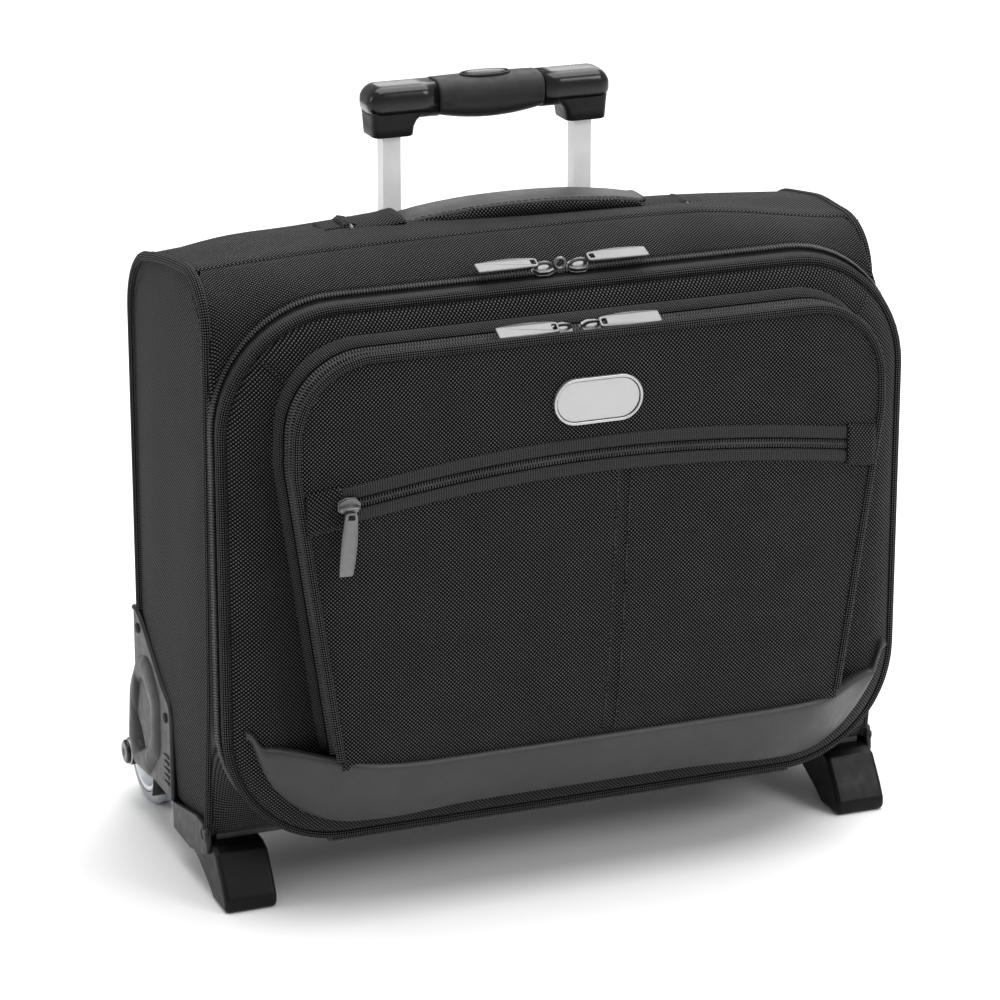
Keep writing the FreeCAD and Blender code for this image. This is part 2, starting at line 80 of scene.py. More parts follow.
HALF = panel_hi.x                    # half the body's width
BASE, TOP, BACK = panel_lo.z, panel_hi.z, panel_hi.y
FRONT_TOP, FRONT_WAIST, FRONT_BASE = panel_lo.y, panel_lo.y + 8 * MM, panel_lo.y + 19 * MM
WAIST = BASE + 90 * MM
FRONT_ROUND, REAR_ROUND = 32 * MM, 42 * MM
TOP_FRONT, TOP_REAR = TOP + 5.6 * MM, TOP - 18.4 * MM    # the top slopes down to the back
CREASE_Y = FRONT_TOP + 27 * MM       # where the top folds down to the lid
CREASE_Z = TOP - 1 * MM
CROWN = 6 * MM                       # how far the top rises between its ends
LID_ROUND, ZIP_ROUND, POCKET_ROUND = 72 * MM, 74 * MM, 47 * MM
PIPING = 3.1 * MM                    # radius of the corded seams
CLOTH, LINER = 1.2 * MM, 0.6 * MM    # thickness of the outer cloth and of the lining
LID_RIM = lid_lo.y + 7 * MM          # plane of the lid's piping
LID_FACE = lid_lo.y - 7 * MM
POCKET_RIM = pocket_lo.y + 8 * MM    # plane of the pocket's piping
POCKET_ZIP = -112 * MM
SLIP_CROWN, SLIP_RADIUS = 279 * MM, 920 * MM
COIL_PITCH = 1.8 * MM                # spacing of the teeth of the two long zips
HUMPS = ((-90 * MM, 85 * MM, 8 * MM), (-175 * MM, 35 * MM, 3.5 * MM))
SHOULDER_IN, SHOULDER_DROP = 15 * MM, 8 * MM


# ------------------------------------------------------------------ materials

class Nodes:
    """Builds one node material with short calls."""

    def __init__(self, name, color=(0.5, 0.5, 0.5), rough=0.5, metal=0.0, **sockets):
        self.material = bpy.data.materials.new(name)
        self.material.use_nodes = True
        self.tree = self.material.node_tree
        self.shader = self.tree.nodes["Principled BSDF"]
        self.set("Base Color", (*color, 1))
        self.set("Roughness", rough)
        self.set("Metallic", metal)
        for socket, value in sockets.items():
            self.set(socket.replace("_", " "), value)

    def set(self, socket, value):
        self.shader.inputs[socket].default_value = value

    def link(self, source, socket):
        self.tree.links.new(source, self.shader.inputs[socket])

    def add(self, kind, **settings):
        made = self.tree.nodes.new(kind)
        for key, value in settings.items():
            setattr(made, key, value)
        return made

    def math(self, operation, a, b=None):
        made = self.add("ShaderNodeMath", operation=operation)
        for socket, value in zip(made.inputs, (a, b)):
            if value is None:
                continue
            if isinstance(value, (int, float)):
                socket.default_value = value
            else:
                self.tree.links.new(value, socket)
        return made.outputs[0]

    def ramp(self, source, low, high, low_color, high_color):
        made = self.add("ShaderNodeMapRange")
        self.tree.links.new(source, made.inputs["Value"])
        made.inputs["From Min"].default_value = low
        made.inputs["From Max"].default_value = high
        mix = self.add("ShaderNodeMix", data_type="RGBA")
        self.tree.links.new(made.outputs["Result"], mix.inputs["Factor"])
        mix.inputs["A"].default_value = (*low_color, 1)
        mix.inputs["B"].default_value = (*high_color, 1)
        return mix.outputs["Result"]

    def spread(self, source, low, high, out_low, out_high):
        made = self.add("ShaderNodeMapRange")
        self.tree.links.new(source, made.inputs["Value"])
        for socket, value in (("From Min", low), ("From Max", high),
                              ("To Min", out_low), ("To Max", out_high)):
            made.inputs[socket].default_value = value
        return made.outputs["Result"]

    def noise(self, scale, detail=3.0, vector=None, roughness=0.5):
        made = self.add("ShaderNodeTexNoise")
        made.inputs["Scale"].default_value = scale
        made.inputs["Detail"].default_value = detail
        made.inputs["Roughness"].default_value = roughness
        if vector is None:
            vector = self.add("ShaderNodeTexCoord").outputs["Object"]
        self.tree.links.new(vector, made.inputs["Vector"])
        return made.outputs["Fac"]

    def uv(self):
        """The two UV coordinates, which every fabric piece carries in metres."""
        split = self.add("ShaderNodeSeparateXYZ")
        self.tree.links.new(self.add("ShaderNodeTexCoord").outputs["UV"], split.inputs[0])
        return split.outputs[0], split.outputs[1]

    def bump(self, height, depth, strength=1.0):
        made = self.add("ShaderNodeBump")
        made.inputs["Distance"].default_value = depth
        made.inputs["Strength"].default_value = strength
        self.tree.links.new(height, made.inputs["Height"])
        self.link(made.outputs["Normal"], "Normal")


def ballistic_weave(name, dark, light, pitch=1.45 * MM, turn=0.0):
    """Plain weave of heavy yarn: floats of warp and weft alternate like a chessboard; the light
    colour is painted highlight on the raised knuckles.
    """
    m = Nodes(name, dark, 0.6, Sheen_Weight=0.04, Sheen_Roughness=0.5)
    u, v = m.uv()
    if turn:
        u, v = (m.math("MULTIPLY", m.math("ADD", u, v), 0.7071),
                m.math("MULTIPLY", m.math("SUBTRACT", v, u), 0.7071))
    warp = m.math("MULTIPLY", u, math.pi / pitch)
    weft = m.math("MULTIPLY", v, math.pi / pitch)
    wave_u, wave_v = m.math("SINE", warp), m.math("SINE", weft)
    product = m.math("MULTIPLY", wave_u, wave_v)
    knuckle = m.math("POWER", m.math("ABSOLUTE", product), 0.7)
    over = m.math("GREATER_THAN", product, 0.0)
    height = m.math("MULTIPLY", knuckle, m.math("ADD", m.math("MULTIPLY", over, 0.45), 0.55))
    cloudy = m.noise(38.0, 3.0)
    # Painted highlight: the raised knuckles take the light colour in the base colour, varied at
    # random by the cloudy noise.
    knuckle_glint = m.math("POWER", m.math("MULTIPLY", knuckle, over), 1.6)
    shade = m.math("MULTIPLY", knuckle_glint, m.math("ADD", m.math("MULTIPLY", cloudy, 0.6), 0.7))
    m.link(m.ramp(shade, 0.05, 1.0, dark, light), "Base Color")
    m.link(m.spread(knuckle_glint, 0.0, 1.0, 0.85, 0.42), "Roughness")
    m.link(m.spread(knuckle_glint, 0.1, 1.0, 0.03, 0.4), "Specular IOR Level")
    m.bump(height, 0.45 * MM, 0.9)
    return m.material


def twill_tape(name, dark, light):
    """Herringbone zip tape."""
    m = Nodes(name, dark, 0.75, Specular_IOR_Level=0.1)
    u, v = m.uv()
    zigzag = m.math("PINGPONG", u, 2.2 * MM)
    stripe = m.math("SINE", m.math("MULTIPLY", m.math("ADD", v, zigzag), math.tau / (0.9 * MM)))
    m.link(m.ramp(stripe, -1, 1, dark, light), "Base Color")
    m.bump(stripe, 0.15 * MM, 0.7)
    return m.material


def ribbed_binding(name, dark, light):
    """Smooth woven binding with fine ribs across it and a soft sheen."""
    m = Nodes(name, dark, 0.6, Specular_IOR_Level=0.13)
    u, v = m.uv()
    rib = m.math("SINE", m.math("MULTIPLY", u, math.tau / (1.5 * MM)))
    fine = m.math("SINE", m.math("MULTIPLY", v, math.tau / (1.1 * MM)))
    height = m.math("ADD", rib, m.math("MULTIPLY", fine, 0.4))
    m.link(m.ramp(height, -1.2, 1.2, dark, light), "Base Color")
    m.bump(height, 0.1 * MM, 0.6)
    return m.material


def leatherette(name, dark, light):
    """Fine pebbled grain with faint creases."""
    m = Nodes(name, dark, 0.42, Specular_IOR_Level=0.45)
    cells = m.add("ShaderNodeTexVoronoi", feature="DISTANCE_TO_EDGE")
    cells.inputs["Scale"].default_value = 900
    coords = m.add("ShaderNodeTexCoord").outputs["Object"]
    m.tree.links.new(coords, cells.inputs["Vector"])
    pebble = m.spread(cells.outputs["Distance"], 0.0, 0.25, 0.0, 1.0)
    fine = m.noise(1500.0, 2.0)
    broad = m.noise(9.0, 3.0)
    height = m.math("ADD", pebble, m.math("MULTIPLY", fine, 0.5))
    m.link(m.ramp(m.math("ADD", m.math("MULTIPLY", pebble, 0.25), broad), 0.3, 0.95, dark, light),
           "Base Color")
    m.link(m.spread(m.noise(60.0, 3.0), 0.3, 0.7, 0.36, 0.5), "Roughness")
    m.bump(height, 0.12 * MM, 0.55)
    return m.material


def brushed_metal(name, color, rough, brush=(1, 30, 1), scale=220.0, depth=0.02, metal=1.0):
    """Metal with a directional grain; brush stretches the grain along the axes."""
    m = Nodes(name, color, rough, metal)
    coords = m.add("ShaderNodeTexCoord").outputs["Object"]
    stretch = m.add("ShaderNodeMapping")
    stretch.inputs["Scale"].default_value = brush
    m.tree.links.new(coords, stretch.inputs["Vector"])
    grain = m.noise(scale, 4.0, stretch.outputs["Vector"], 0.65)
    worn = m.noise(70.0, 4.0)
    m.link(m.spread(m.math("ADD", grain, m.math("MULTIPLY", worn, 0.5)), 0.5, 1.0, rough * 0.8,
                    rough * 1.3), "Roughness")
    pale = tuple(min(1.0, c * 1.07) for c in color)
    m.link(m.ramp(worn, 0.35, 0.65, color, pale), "Base Color")
    m.bump(grain, depth * MM, 0.4)
    return m.material


def moulded_plastic(name, color, rough, grain=0.08, coat=0.0, wear=0.02, gloss=0.32):
    """Injection-moulded plastic: spark-eroded grain, uneven gloss and rubbed high spots."""
    m = Nodes(name, color, rough, Specular_IOR_Level=gloss, Coat_Weight=coat, Coat_Roughness=0.08)
    fine = m.noise(2400.0, 2.0)
    broad = m.noise(24.0, 4.0)
    worn = tuple(c + wear for c in color)
    m.link(m.ramp(broad, 0.4, 0.7, color, worn), "Base Color")
    m.link(m.spread(m.noise(140.0, 5.0), 0.3, 0.75, rough * 0.85, rough * 1.2), "Roughness")
    m.bump(fine, grain * MM, 0.6)
    return m.material


# The paler second colour of both weaves is painted highlight on the yarn knuckles.
FABRIC = ballistic_weave("ballistic_fabric", (0.0012, 0.0012, 0.0014), (0.095, 0.095, 0.097),
                         1.2 * MM)
FABRIC_PIPING = ballistic_weave("piping_fabric", (0.0022, 0.0022, 0.0024), (0.095, 0.095, 0.098),
                                1.05 * MM, 1.0)
TAPE = twill_tape("zip_tape", (0.003, 0.003, 0.0035), (0.02, 0.02, 0.021))
BINDING = ribbed_binding("binding", (0.0025, 0.0025, 0.003), (0.042, 0.042, 0.043))
TRIM = leatherette("trim_leatherette", (0.0125, 0.0125, 0.013), (0.027, 0.027, 0.028))
# Painted shade: a darker copy of the trim leatherette for the carry handle's strap, so the strap
# stays dark under the back light.
TRIM_SHADED = leatherette("handle_leatherette", (0.005, 0.005, 0.0055), (0.013, 0.013, 0.0135))
COIL = moulded_plastic("zip_coil", (0.034, 0.034, 0.035), 0.3, 0.02)
NICKEL = brushed_metal("satin_nickel", (0.16, 0.16, 0.16), 0.42)
BADGE_METAL = brushed_metal("badge_metal", (0.45, 0.45, 0.455), 0.42, (1, 1, 40), 300.0)
ALUMINIUM = brushed_metal("tube_aluminium", (0.92, 0.92, 0.93), 0.45, (60, 60, 1), 30.0, 0.01, 0.15)
STEEL = brushed_metal("steel", (0.45, 0.45, 0.46), 0.32)
GLOSS_BLACK = moulded_plastic("grip_gloss", (0.003, 0.003, 0.0033), 0.22, 0.01, 0.15, 0.002)
MATTE_BLACK = moulded_plastic("grip_matte", (0.005, 0.005, 0.0053), 0.5, 0.1, 0.0, 0.004)
RUBBER = moulded_plastic("grip_rubber", (0.012, 0.012, 0.0125), 0.6, 0.12, 0.0, 0.006)
FOOT = moulded_plastic("foot_plastic", (0.002, 0.002, 0.0022), 0.4, 0.05, 0.0, 0.002, 0.18)
CORNER = moulded_plastic("corner_plastic", (0.008, 0.008, 0.0085), 0.42, 0.06, 0.0, 0.006)
HUB = moulded_plastic("hub_plastic", (0.62, 0.64, 0.66), 0.2, 0.02, 0.3)
TYRE = moulded_plastic("tyre_grey", (0.3, 0.31, 0.33), 0.55, 0.15)
LINING = twill_tape("lining", (0.012, 0.012, 0.014), (0.034, 0.034, 0.037))
BOARD = moulded_plastic("board", (0.04, 0.04, 0.042), 0.6, 0.15)
THREAD = ribbed_binding("thread", (0.012, 0.012, 0.013), (0.05, 0.05, 0.052))


# Name of the part's material slot that each finish belongs to; piece() looks it up but gives the
# mesh no slot. Thread and small marks belong to none.
SLOTS = {
    "ballistic_fabric": (FABRIC,), "binding_fabric": (FABRIC_PIPING, BINDING),
    "lining_fabric": (LINING,), "trim_leatherette": (TRIM, TRIM_SHADED),
    "zip_coil": (TAPE, COIL), "satin_nickel": (NICKEL,), "badge_metal": (BADGE_METAL,),
    "steel": (STEEL,), "grip_plastic": (GLOSS_BLACK, MATTE_BLACK), "grip_rubber": (RUBBER,),
    "corner_plastic": (FOOT, CORNER), "hub_plastic": (HUB,), "tyre_grey": (TYRE,),
}
OWN_SLOT = {finish.name: slot for slot, finishes in SLOTS.items() for finish in finishes}


# ------------------------------------------------------------------ mesh helpers

def piece(name, verts, faces, material, body=None, uvs=None, slot="by finish", replaces=()):
    """A mesh object that rides on a body. uvs holds one pair per face corner."""
    mesh = bpy.data.meshes.new(name)
    mesh.from_pydata([tuple(map(float, v)) for v in verts], [], [tuple(f) for f in faces])
    if uvs is not None:
        layer = mesh.uv_layers.new(name="UVMap")
        layer.data.foreach_set("uv", np.array(uvs, np.float32).ravel())
    mesh.polygons.foreach_set("use_smooth", [True] * len(mesh.polygons))
    mesh.validate()
    mesh.update()
    made = bpy.data.objects.new(name, mesh)
    bpy.context.collection.objects.link(made)
    mesh.materials.append(material)
    if body:
        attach(made, body)
    if slot == "by finish":
        slot = OWN_SLOT.get(material.name)
    if replaces:
        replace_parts(made, *replaces)
    return made


def stands_for(name, *nodes):
    """A piece takes the place of CAD nodes."""
    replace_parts(bpy.data.objects[name], *nodes)


def modify(obj, kind, **settings):
    """Adds a modifier with its settings."""
    made = obj.modifiers.new(kind.title(), kind)
    for key, value in settings.items():
        setattr(made, key, value)
    return made


def lengths(points, closed=False):
    """Distance along a line of points, one value per point (one more if closed)."""
    points = np.asarray(points, float)
    if closed:
        points = np.vstack([points, points[:1]])
    steps = np.linalg.norm(np.diff(points, axis=0), axis=1)
    return np.concatenate([[0.0], np.cumsum(steps)])


def grid(name, points, material, body=None, closed=False, thick=0.0, uv=None, caps=False, **rest):
    """A surface through rows of points; closed joins each row's end to its start."""
    points = np.asarray(points, float)
    rows, cols = points.shape[:2]
    across = cols if closed else cols - 1
    if uv is None:
        u = lengths(points[rows // 2], closed)
        v = lengths(points[:, cols // 3])
        uv = np.stack(np.meshgrid(u, v), axis=-1)
    faces, uvs = [], []
    for r in range(rows - 1):
        for c in range(across):
            following = (c + 1) % cols
            corner_ids = (r * cols + c, r * cols + following, (r + 1) * cols + following,
                          (r + 1) * cols + c)
            faces.append(corner_ids)
            uvs += [uv[r, c], uv[r, c + 1], uv[r + 1, c + 1], uv[r + 1, c]]
    if caps:
        faces += [list(range(cols))[::-1], list(range((rows - 1) * cols, rows * cols))]
        uvs += [(0, 0)] * (cols * 2)
    made = piece(name, points.reshape(-1, 3), faces, material, body, uvs, **rest)
    if thick:
        modify(made, "SOLIDIFY", thickness=abs(thick), offset=math.copysign(1, thick))
    return made


def xyz(x, y, z):
    """Points from three coordinates, any of which may be a single number."""
    return np.stack(np.broadcast_arrays(x, y, z), -1)


def middle(node):
    """Centre of a CAD node's box."""
    low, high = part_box(node)
    return (low + high) / 2


def smooth_step(t):
    """Eases from 0 to 1."""
    t = np.clip(t, 0, 1)
    return t * t * (3 - 2 * t)


def fillet_path(corners, radii, arc_steps=10, edge_steps=8, closed=True):
    """A polygon's outline with round corners, the same number of points whatever its size."""
    corners = [np.array(c, float) for c in corners]
    count = len(corners)
    arcs = []
    for i in range(count):
        here = corners[i]
        before, after = corners[i - 1], corners[(i + 1) % count]
        a, b = before - here, after - here
        a, b = a / np.linalg.norm(a), b / np.linalg.norm(b)
        radius = radii[i]
        if radius <= 0 or (not closed and i in (0, count - 1)):
            arcs.append(np.array([here]))
            continue
        half = math.acos(float(np.clip(a @ b, -1, 1))) / 2
        centre = here + (a + b) / np.linalg.norm(a + b) * radius / math.sin(half)
        start = here + a * radius / math.tan(half) - centre
        end = here + b * radius / math.tan(half) - centre
        sweep = math.atan2(start[0] * end[1] - start[1] * end[0], float(start @ end))
        angles = np.linspace(0, sweep, arc_steps + 1)
        turned = [np.array([start[0] * math.cos(t) - start[1] * math.sin(t),
                            start[0] * math.sin(t) + start[1] * math.cos(t)]) for t in angles]
        arcs.append(np.array([centre + p for p in turned]))
    points = []
    for i in range(count if closed else count - 1):
        points += list(arcs[i])
        start, end = arcs[i][-1], arcs[(i + 1) % count][0]
        points += [start + (end - start) * k / edge_steps for k in range(1, edge_steps)]
    if not closed:
        points += list(arcs[-1])
    return np.array(points)


def outward(path, closed=True):
    """Unit normals of an anticlockwise path in its own plane, pointing out."""
    if closed:
        tangent = np.roll(path, -1, 0) - np.roll(path, 1, 0)
    else:
        tangent = np.gradient(path, axis=0)
    tangent /= np.linalg.norm(tangent, axis=1)[:, None]
    return np.stack([tangent[:, 1], -tangent[:, 0]], axis=1)


def inset(path, depth, closed=True):
    """A path moved in by a depth."""
    return path - outward(path, closed) * depth


def at_y(path, y):
    """A path in the XZ plane as 3-D points at one or many Y."""
    return xyz(path[:, 0], y, path[:, 1])


def resample(points, spacing, closed=False):
    """Points at an even spacing along a line."""
    points = np.asarray(points, float)
    along = lengths(points, closed)
    if closed:
        points = np.vstack([points, points[:1]])
    count = max(2, int(round(along[-1] / spacing)))
    where = np.linspace(0, along[-1], count, endpoint=not closed)
    return np.stack([np.interp(where, along, points[:, k]) for k in range(3)], axis=1)


def frames_along(points, closed, up):
    """Tangent, side and up directions at each point of a line."""
    if closed:
        tangent = np.roll(points, -1, 0) - np.roll(points, 1, 0)
    else:
        tangent = np.gradient(points, axis=0)
    tangent /= np.linalg.norm(tangent, axis=1)[:, None]
    up = np.broadcast_to(np.asarray(up, float), points.shape)
    side = np.cross(tangent, up)
    side /= np.linalg.norm(side, axis=1)[:, None]
    return tangent, side, np.cross(side, tangent)


def cord_piece(name, points, radius, material, body, closed=False, up=(0, 1, 0), sections=10,
               spacing=4 * MM, flat=1.0, **rest):
    """Round or flattened cord swept along a line, with closed ends."""
    points = resample(points, spacing, closed)
    _, side, top = frames_along(points, closed, up)
    angles = np.linspace(0, math.tau, sections, endpoint=False)
    radius = np.broadcast_to(radius, len(points))
    rings = [p + r * (np.outer(np.cos(angles), s) + np.outer(np.sin(angles), t) * flat)
             for p, s, t, r in zip(points, side, top, radius)]
    verts = np.array(rings).reshape(-1, 3)
    along = lengths(points, closed)
    round_trip = np.linspace(0, math.tau * float(radius[0]), sections + 1)
    faces, uvs = [], []
    total = len(points)
    for i in range(total if closed else total - 1):
        following = (i + 1) % total
        for k in range(sections):
            near = (k + 1) % sections
            faces.append((i * sections + k, i * sections + near, following * sections + near,
                          following * sections + k))
            uvs += [(along[i], round_trip[k]), (along[i], round_trip[k + 1]),
                    (along[i + 1], round_trip[k + 1]), (along[i + 1], round_trip[k])]
    if not closed:
        first, last = list(range(sections)), list(range((total - 1) * sections, total * sections))
        for cap in (first[::-1], last):
            faces.append(cap)
            uvs += [(0, 0)] * sections
    return piece(name, verts, faces, material, body, uvs, **rest)


def bars(name, centres, along, across, up, size, material, body, **rest):
    """Many small chamfered bars in one mesh, such as zip teeth or stitches."""
    long, wide, high = (s / 2 for s in size)
    cut = 0.35                           # share of a side that its chamfers leave
    section = [(-wide, -high * cut), (-wide * cut, -high), (wide * cut, -high), (wide, -high * cut),
               (wide, high * cut), (wide * cut, high), (-wide * cut, high), (-wide, high * cut)]
    verts, faces = [], []
    for centre, a, c, u in zip(centres, along, across, up):
        start = len(verts)
        for end, scale in ((-long, 0.6), (-long * 0.8, 1.0), (long * 0.8, 1.0), (long, 0.6)):
            verts += [centre + a * end + c * x * scale + u * z * scale for x, z in section]
        for first in (start, start + 8, start + 16):
            for k in range(8):
                near = (k + 1) % 8
                faces.append((first + k, first + near, first + 8 + near, first + 8 + k))
        faces.append(tuple(start + k for k in range(7, -1, -1)))
        faces.append(tuple(start + 24 + k for k in range(8)))
    uvs = [(verts[i][0], verts[i][2]) for f in faces for i in f]
    return piece(name, verts, faces, material, body, uvs, **rest)


def stitches(name, points, up, body):
    """A row of thread stitches lying on a surface whose outward direction is up."""
    spacing, size = 4.2 * MM, (3.0 * MM, 0.7 * MM, 0.56 * MM)
    points = resample(points, spacing)
    bars(name, points, *frames_along(points, False, up), size, THREAD, body)


def zip_chain(name, points, up, body, wide=5.6 * MM, pitch=1.5 * MM, **rest):
    """Closed nylon coil: two rows of loops that meet in the middle."""
    points = resample(points, pitch)
    tangent, side, top = frames_along(points, False, up)
    loop = wide * 0.62
    centres, along, across, upward = [], [], [], []
    for row in (-1, 1):
        shift = tangent * pitch * 0.25 * row + side * row * (wide - loop) / 2 + top * 0.8 * MM
        centres += list(points + shift)
        along += list(side)
        across += list(tangent)
        upward += list(top)
    return bars(name, centres, along, across, upward, (loop, pitch * 0.6, 1.7 * MM), COIL, body,
                **rest)


def coil_frames(line, up, pitch):
    """A zip's line and its outward directions at every tooth."""
    fine = resample(line, pitch)
    here, along = lengths(fine), lengths(line)
    return fine, np.stack([np.interp(here, along, up[:, k]) for k in range(3)], axis=1)


# ------------------------------------------------------------------ outlines

def ring_path(half, low, high, radius):
    """A round-cornered outline as seen from the front, anticlockwise from the lower left."""
    corners = [(-half, low), (half, low), (half, high), (-half, high)]
    return fillet_path(corners, [radius] * 4, 14, 16)


def lid_path():
    """Outline of the lid and of its piping."""
    return ring_path(lid_hi.x, lid_lo.z, lid_hi.z, LID_ROUND)


def zip_path():
    """Outline of the main zip."""
    return ring_path(zip_hi.x, lid_lo.z, zip_hi.z, ZIP_ROUND)


def pocket_path():
    """The pocket's open outline: up the left side, over the top and down the right."""
    low, high = pocket_lo.z + 4 * MM, pocket_hi.z
    wide, foot = pocket_hi.x, 160 * MM
    shoulder = 285 * MM
    corners = [(foot, low), (wide, shoulder), (wide - 2 * MM, high), (2 * MM - wide, high),
               (-wide, shoulder), (-foot, low)]
    return fillet_path(corners, [0, 60 * MM, POCKET_ROUND, POCKET_ROUND, 60 * MM, 0], 12, 14,
                       closed=False)


def front_edge(z):
    """Y of the side panel's front edge at a height."""
    return np.interp(z, [BASE, WAIST, TOP - FRONT_ROUND], [FRONT_BASE, FRONT_WAIST, FRONT_TOP])


def side_outline():
    """The case seen from the side as (y, z): up the front, over the top, down the back."""
    corners = [(FRONT_BASE, BASE), (FRONT_WAIST, WAIST), (FRONT_TOP, TOP_FRONT), (BACK, TOP_REAR),
               (BACK, BASE)]
    return fillet_path(corners, [0, 60 * MM, FRONT_ROUND, REAR_ROUND, 0], 14, 20, closed=False)


# ------------------------------------------------------------------ fabric body

def crown(x):
    """Rise of the top between the case's ends."""
    return CROWN * (1 - (np.abs(x) / HALF) ** 2.6)


def lean(points):
    """The stuffed body isn't square: its right shoulder sits in and low, its left top is full.

    HUMPS holds each swelling of the top as its place along X, its spread and its height.
    """
    moved = np.array(points, float)
    x, y, z = (moved[..., k].copy() for k in range(3))
    right = smooth_step((x - 90 * MM) / (125 * MM))
    high = smooth_step((z - 190 * MM) / (170 * MM))
    top = smooth_step((z - (TOP - 70 * MM)) / (50 * MM))
    rear = smooth_step((y - CREASE_Y) / (50 * MM))
    hump = sum(height * np.exp(-((x - place) / spread) ** 2) for place, spread, height in HUMPS)
    hump *= 1 - 0.75 * smooth_step((y - 28 * MM) / (14 * MM))
    moved[..., 0] -= SHOULDER_IN * right * high
    moved[..., 2] += top * (rear * hump - SHOULDER_DROP * (1 - 0.875 * rear) * right)
    return moved


def top_height(x, y):
    """Height of the fabric on top of the case."""
    slope = TOP_FRONT + (TOP_REAR - TOP_FRONT) * (y - FRONT_TOP) / (BACK - FRONT_TOP)
    return lean(xyz(x, y, slope + crown(x)))[..., 2]


def crease_point(x):
    """Where the top folds down to the lid, at an X."""
    return lean([x, CREASE_Y, CREASE_Z + crown(x)])


def front_gusset():
    """Fabric between the main zip and the side piping, folded over at the top."""
    inner = zip_path()
    outline = side_outline()
    rising = [p for p in outline if p[0] < CREASE_Y - 1 * MM or p[1] < TOP - 60 * MM]
    rising = np.array([p for p in rising if p[0] < 0])
    climb = lengths(rising)
    start_high = float(np.interp(zip_hi.z - ZIP_ROUND, rising[:, 1], climb))
    reach_x = zip_hi.x - ZIP_ROUND
    high_z, low_z = zip_hi.z - ZIP_ROUND, lid_lo.z + ZIP_ROUND
    side_high, side_low = 0.6, 0.55      # share of a corner's turn that meets the side panel
    crease_share = 0.75                  # how much of the way in the crease takes up
    crease_x = HALF - (HALF - reach_x) * crease_share
    outer = []
    for x, z in inner:
        sign = 1 if x >= 0 else -1
        corner = abs(x) > reach_x
        if z > high_z and corner:
            turn = math.atan2(z - high_z, abs(x) - reach_x) / (math.pi / 2)
            if turn < side_high:
                where = start_high + (climb[-1] - start_high) * turn / side_high
                outer.append((sign * HALF, np.interp(where, climb, rising[:, 0]),
                              np.interp(where, climb, rising[:, 1])))
            else:
                share = (turn - side_high) / (1 - side_high)
                far = HALF - (HALF - crease_x) * share
                outer.append((sign * far, CREASE_Y, CREASE_Z + crown(far)))
        elif z > high_z:
            far = x * crease_x / reach_x
            outer.append((far, CREASE_Y, CREASE_Z + crown(far)))
        elif z < low_z and corner:
            turn = math.atan2(low_z - z, abs(x) - reach_x) / (math.pi / 2)
            if turn < side_low:
                up = low_z - (low_z - BASE) * turn / side_low
                outer.append((sign * HALF, front_edge(up), up))
            else:
                far = HALF - (HALF - reach_x) * (turn - side_low) / (1 - side_low)
                outer.append((sign * far, FRONT_BASE, BASE))
        elif z < low_z:
            outer.append((x, FRONT_BASE, BASE))
        else:
            outer.append((sign * HALF, front_edge(z), z))
    outer = lean(outer)
    start = at_y(inner, FRONT_TOP - 2.5 * MM)
    rows = []
    for t in np.linspace(0, 1, 9):
        row = start + (outer - start) * t
        swell = 2.2 * MM * math.sin(math.pi * t)
        row[:, 1] -= swell * (start[:, 2] > TOP - 120 * MM)
        row[:, 2] += swell * 0.8 * (start[:, 2] > TOP - 60 * MM)
        rows.append(row)
    rows = np.array(rows)
    fall = np.where(rows[..., 2] > 0.2, 1, -1)
    uv = np.stack([rows[..., 0], rows[..., 2] + fall * (rows[..., 1] - FRONT_TOP)], axis=-1)
    uv = np.concatenate([uv, uv[:, :1]], axis=1)
    grid("front_gusset", rows, FABRIC, "case", closed=True, thick=-CLOTH, uv=uv,
         replaces=["front_frame"])


def body_wrap():
    """Top and back in one piece, from the crease to the base."""
    outline = side_outline()
    foot_z = 80 * MM                     # the narrower cloth between the wheels starts here
    path = np.array([p for p in outline if p[0] >= CREASE_Y + 2 * MM and p[1] > foot_z + 1 * MM])
    path = np.vstack([[CREASE_Y, CREASE_Z], path, [BACK, foot_z]])
    xs = np.linspace(-HALF, HALF, 61)
    rows = []
    for y, z in path:
        top_share = smooth_step((z - (TOP_REAR - REAR_ROUND)) / (REAR_ROUND * 0.7))
        rise = crown(xs) * top_share
        push = 2.5 * MM * (1 - (np.abs(xs) / HALF) ** 4) * (1 - top_share) * (y > 0)
        ripple = 0.5 * MM * np.sin(xs * 31 + z * 40) * np.sin(y * 60 + z * 17)
        rows.append(lean(xyz(xs, y + push, z + rise + ripple * top_share)))
    wrap = grid("top_and_back", rows, FABRIC, "case", thick=CLOTH,
                replaces=["top_panel", "back_panel"])
    tube_line = middle("handle_bezel").y
    opening_x, opening_y = 76 * MM, 10.5 * MM    # the cloth is cut away under the bezel
    cut = bmesh.new()
    cut.from_mesh(wrap.data)
    hidden = []
    for face in cut.faces:
        spot = face.calc_center_median()
        under = abs(spot.x) < opening_x and abs(spot.y - tube_line) < opening_y
        if under and spot.z > TOP - 60 * MM:
            hidden.append(face)
    bmesh.ops.delete(cut, geom=hidden, context="FACES")
    cut.to_mesh(wrap.data)
    cut.free()
    low = [xyz(xs * 0.84, BACK + 2.2 * MM * (1 - (xs / HALF) ** 4), z)
           for z in np.linspace(foot_z + 4 * MM, BASE, 6)]
    grid("back_foot", low, FABRIC, "case", thick=CLOTH)
    crease = np.array([crease_point(x) for x in np.linspace(-HALF, HALF, 60)])
    crease[:, 2] += 0.2 * MM
    cord_piece("crease_fold", crease, 1.5 * MM, FABRIC, "case", spacing=5 * MM, flat=0.7)
    stitched = crease + np.array([0, 7 * MM, -0.3 * MM])
    stitches("crease_stitches", stitched, (0, 0, 1), "case")


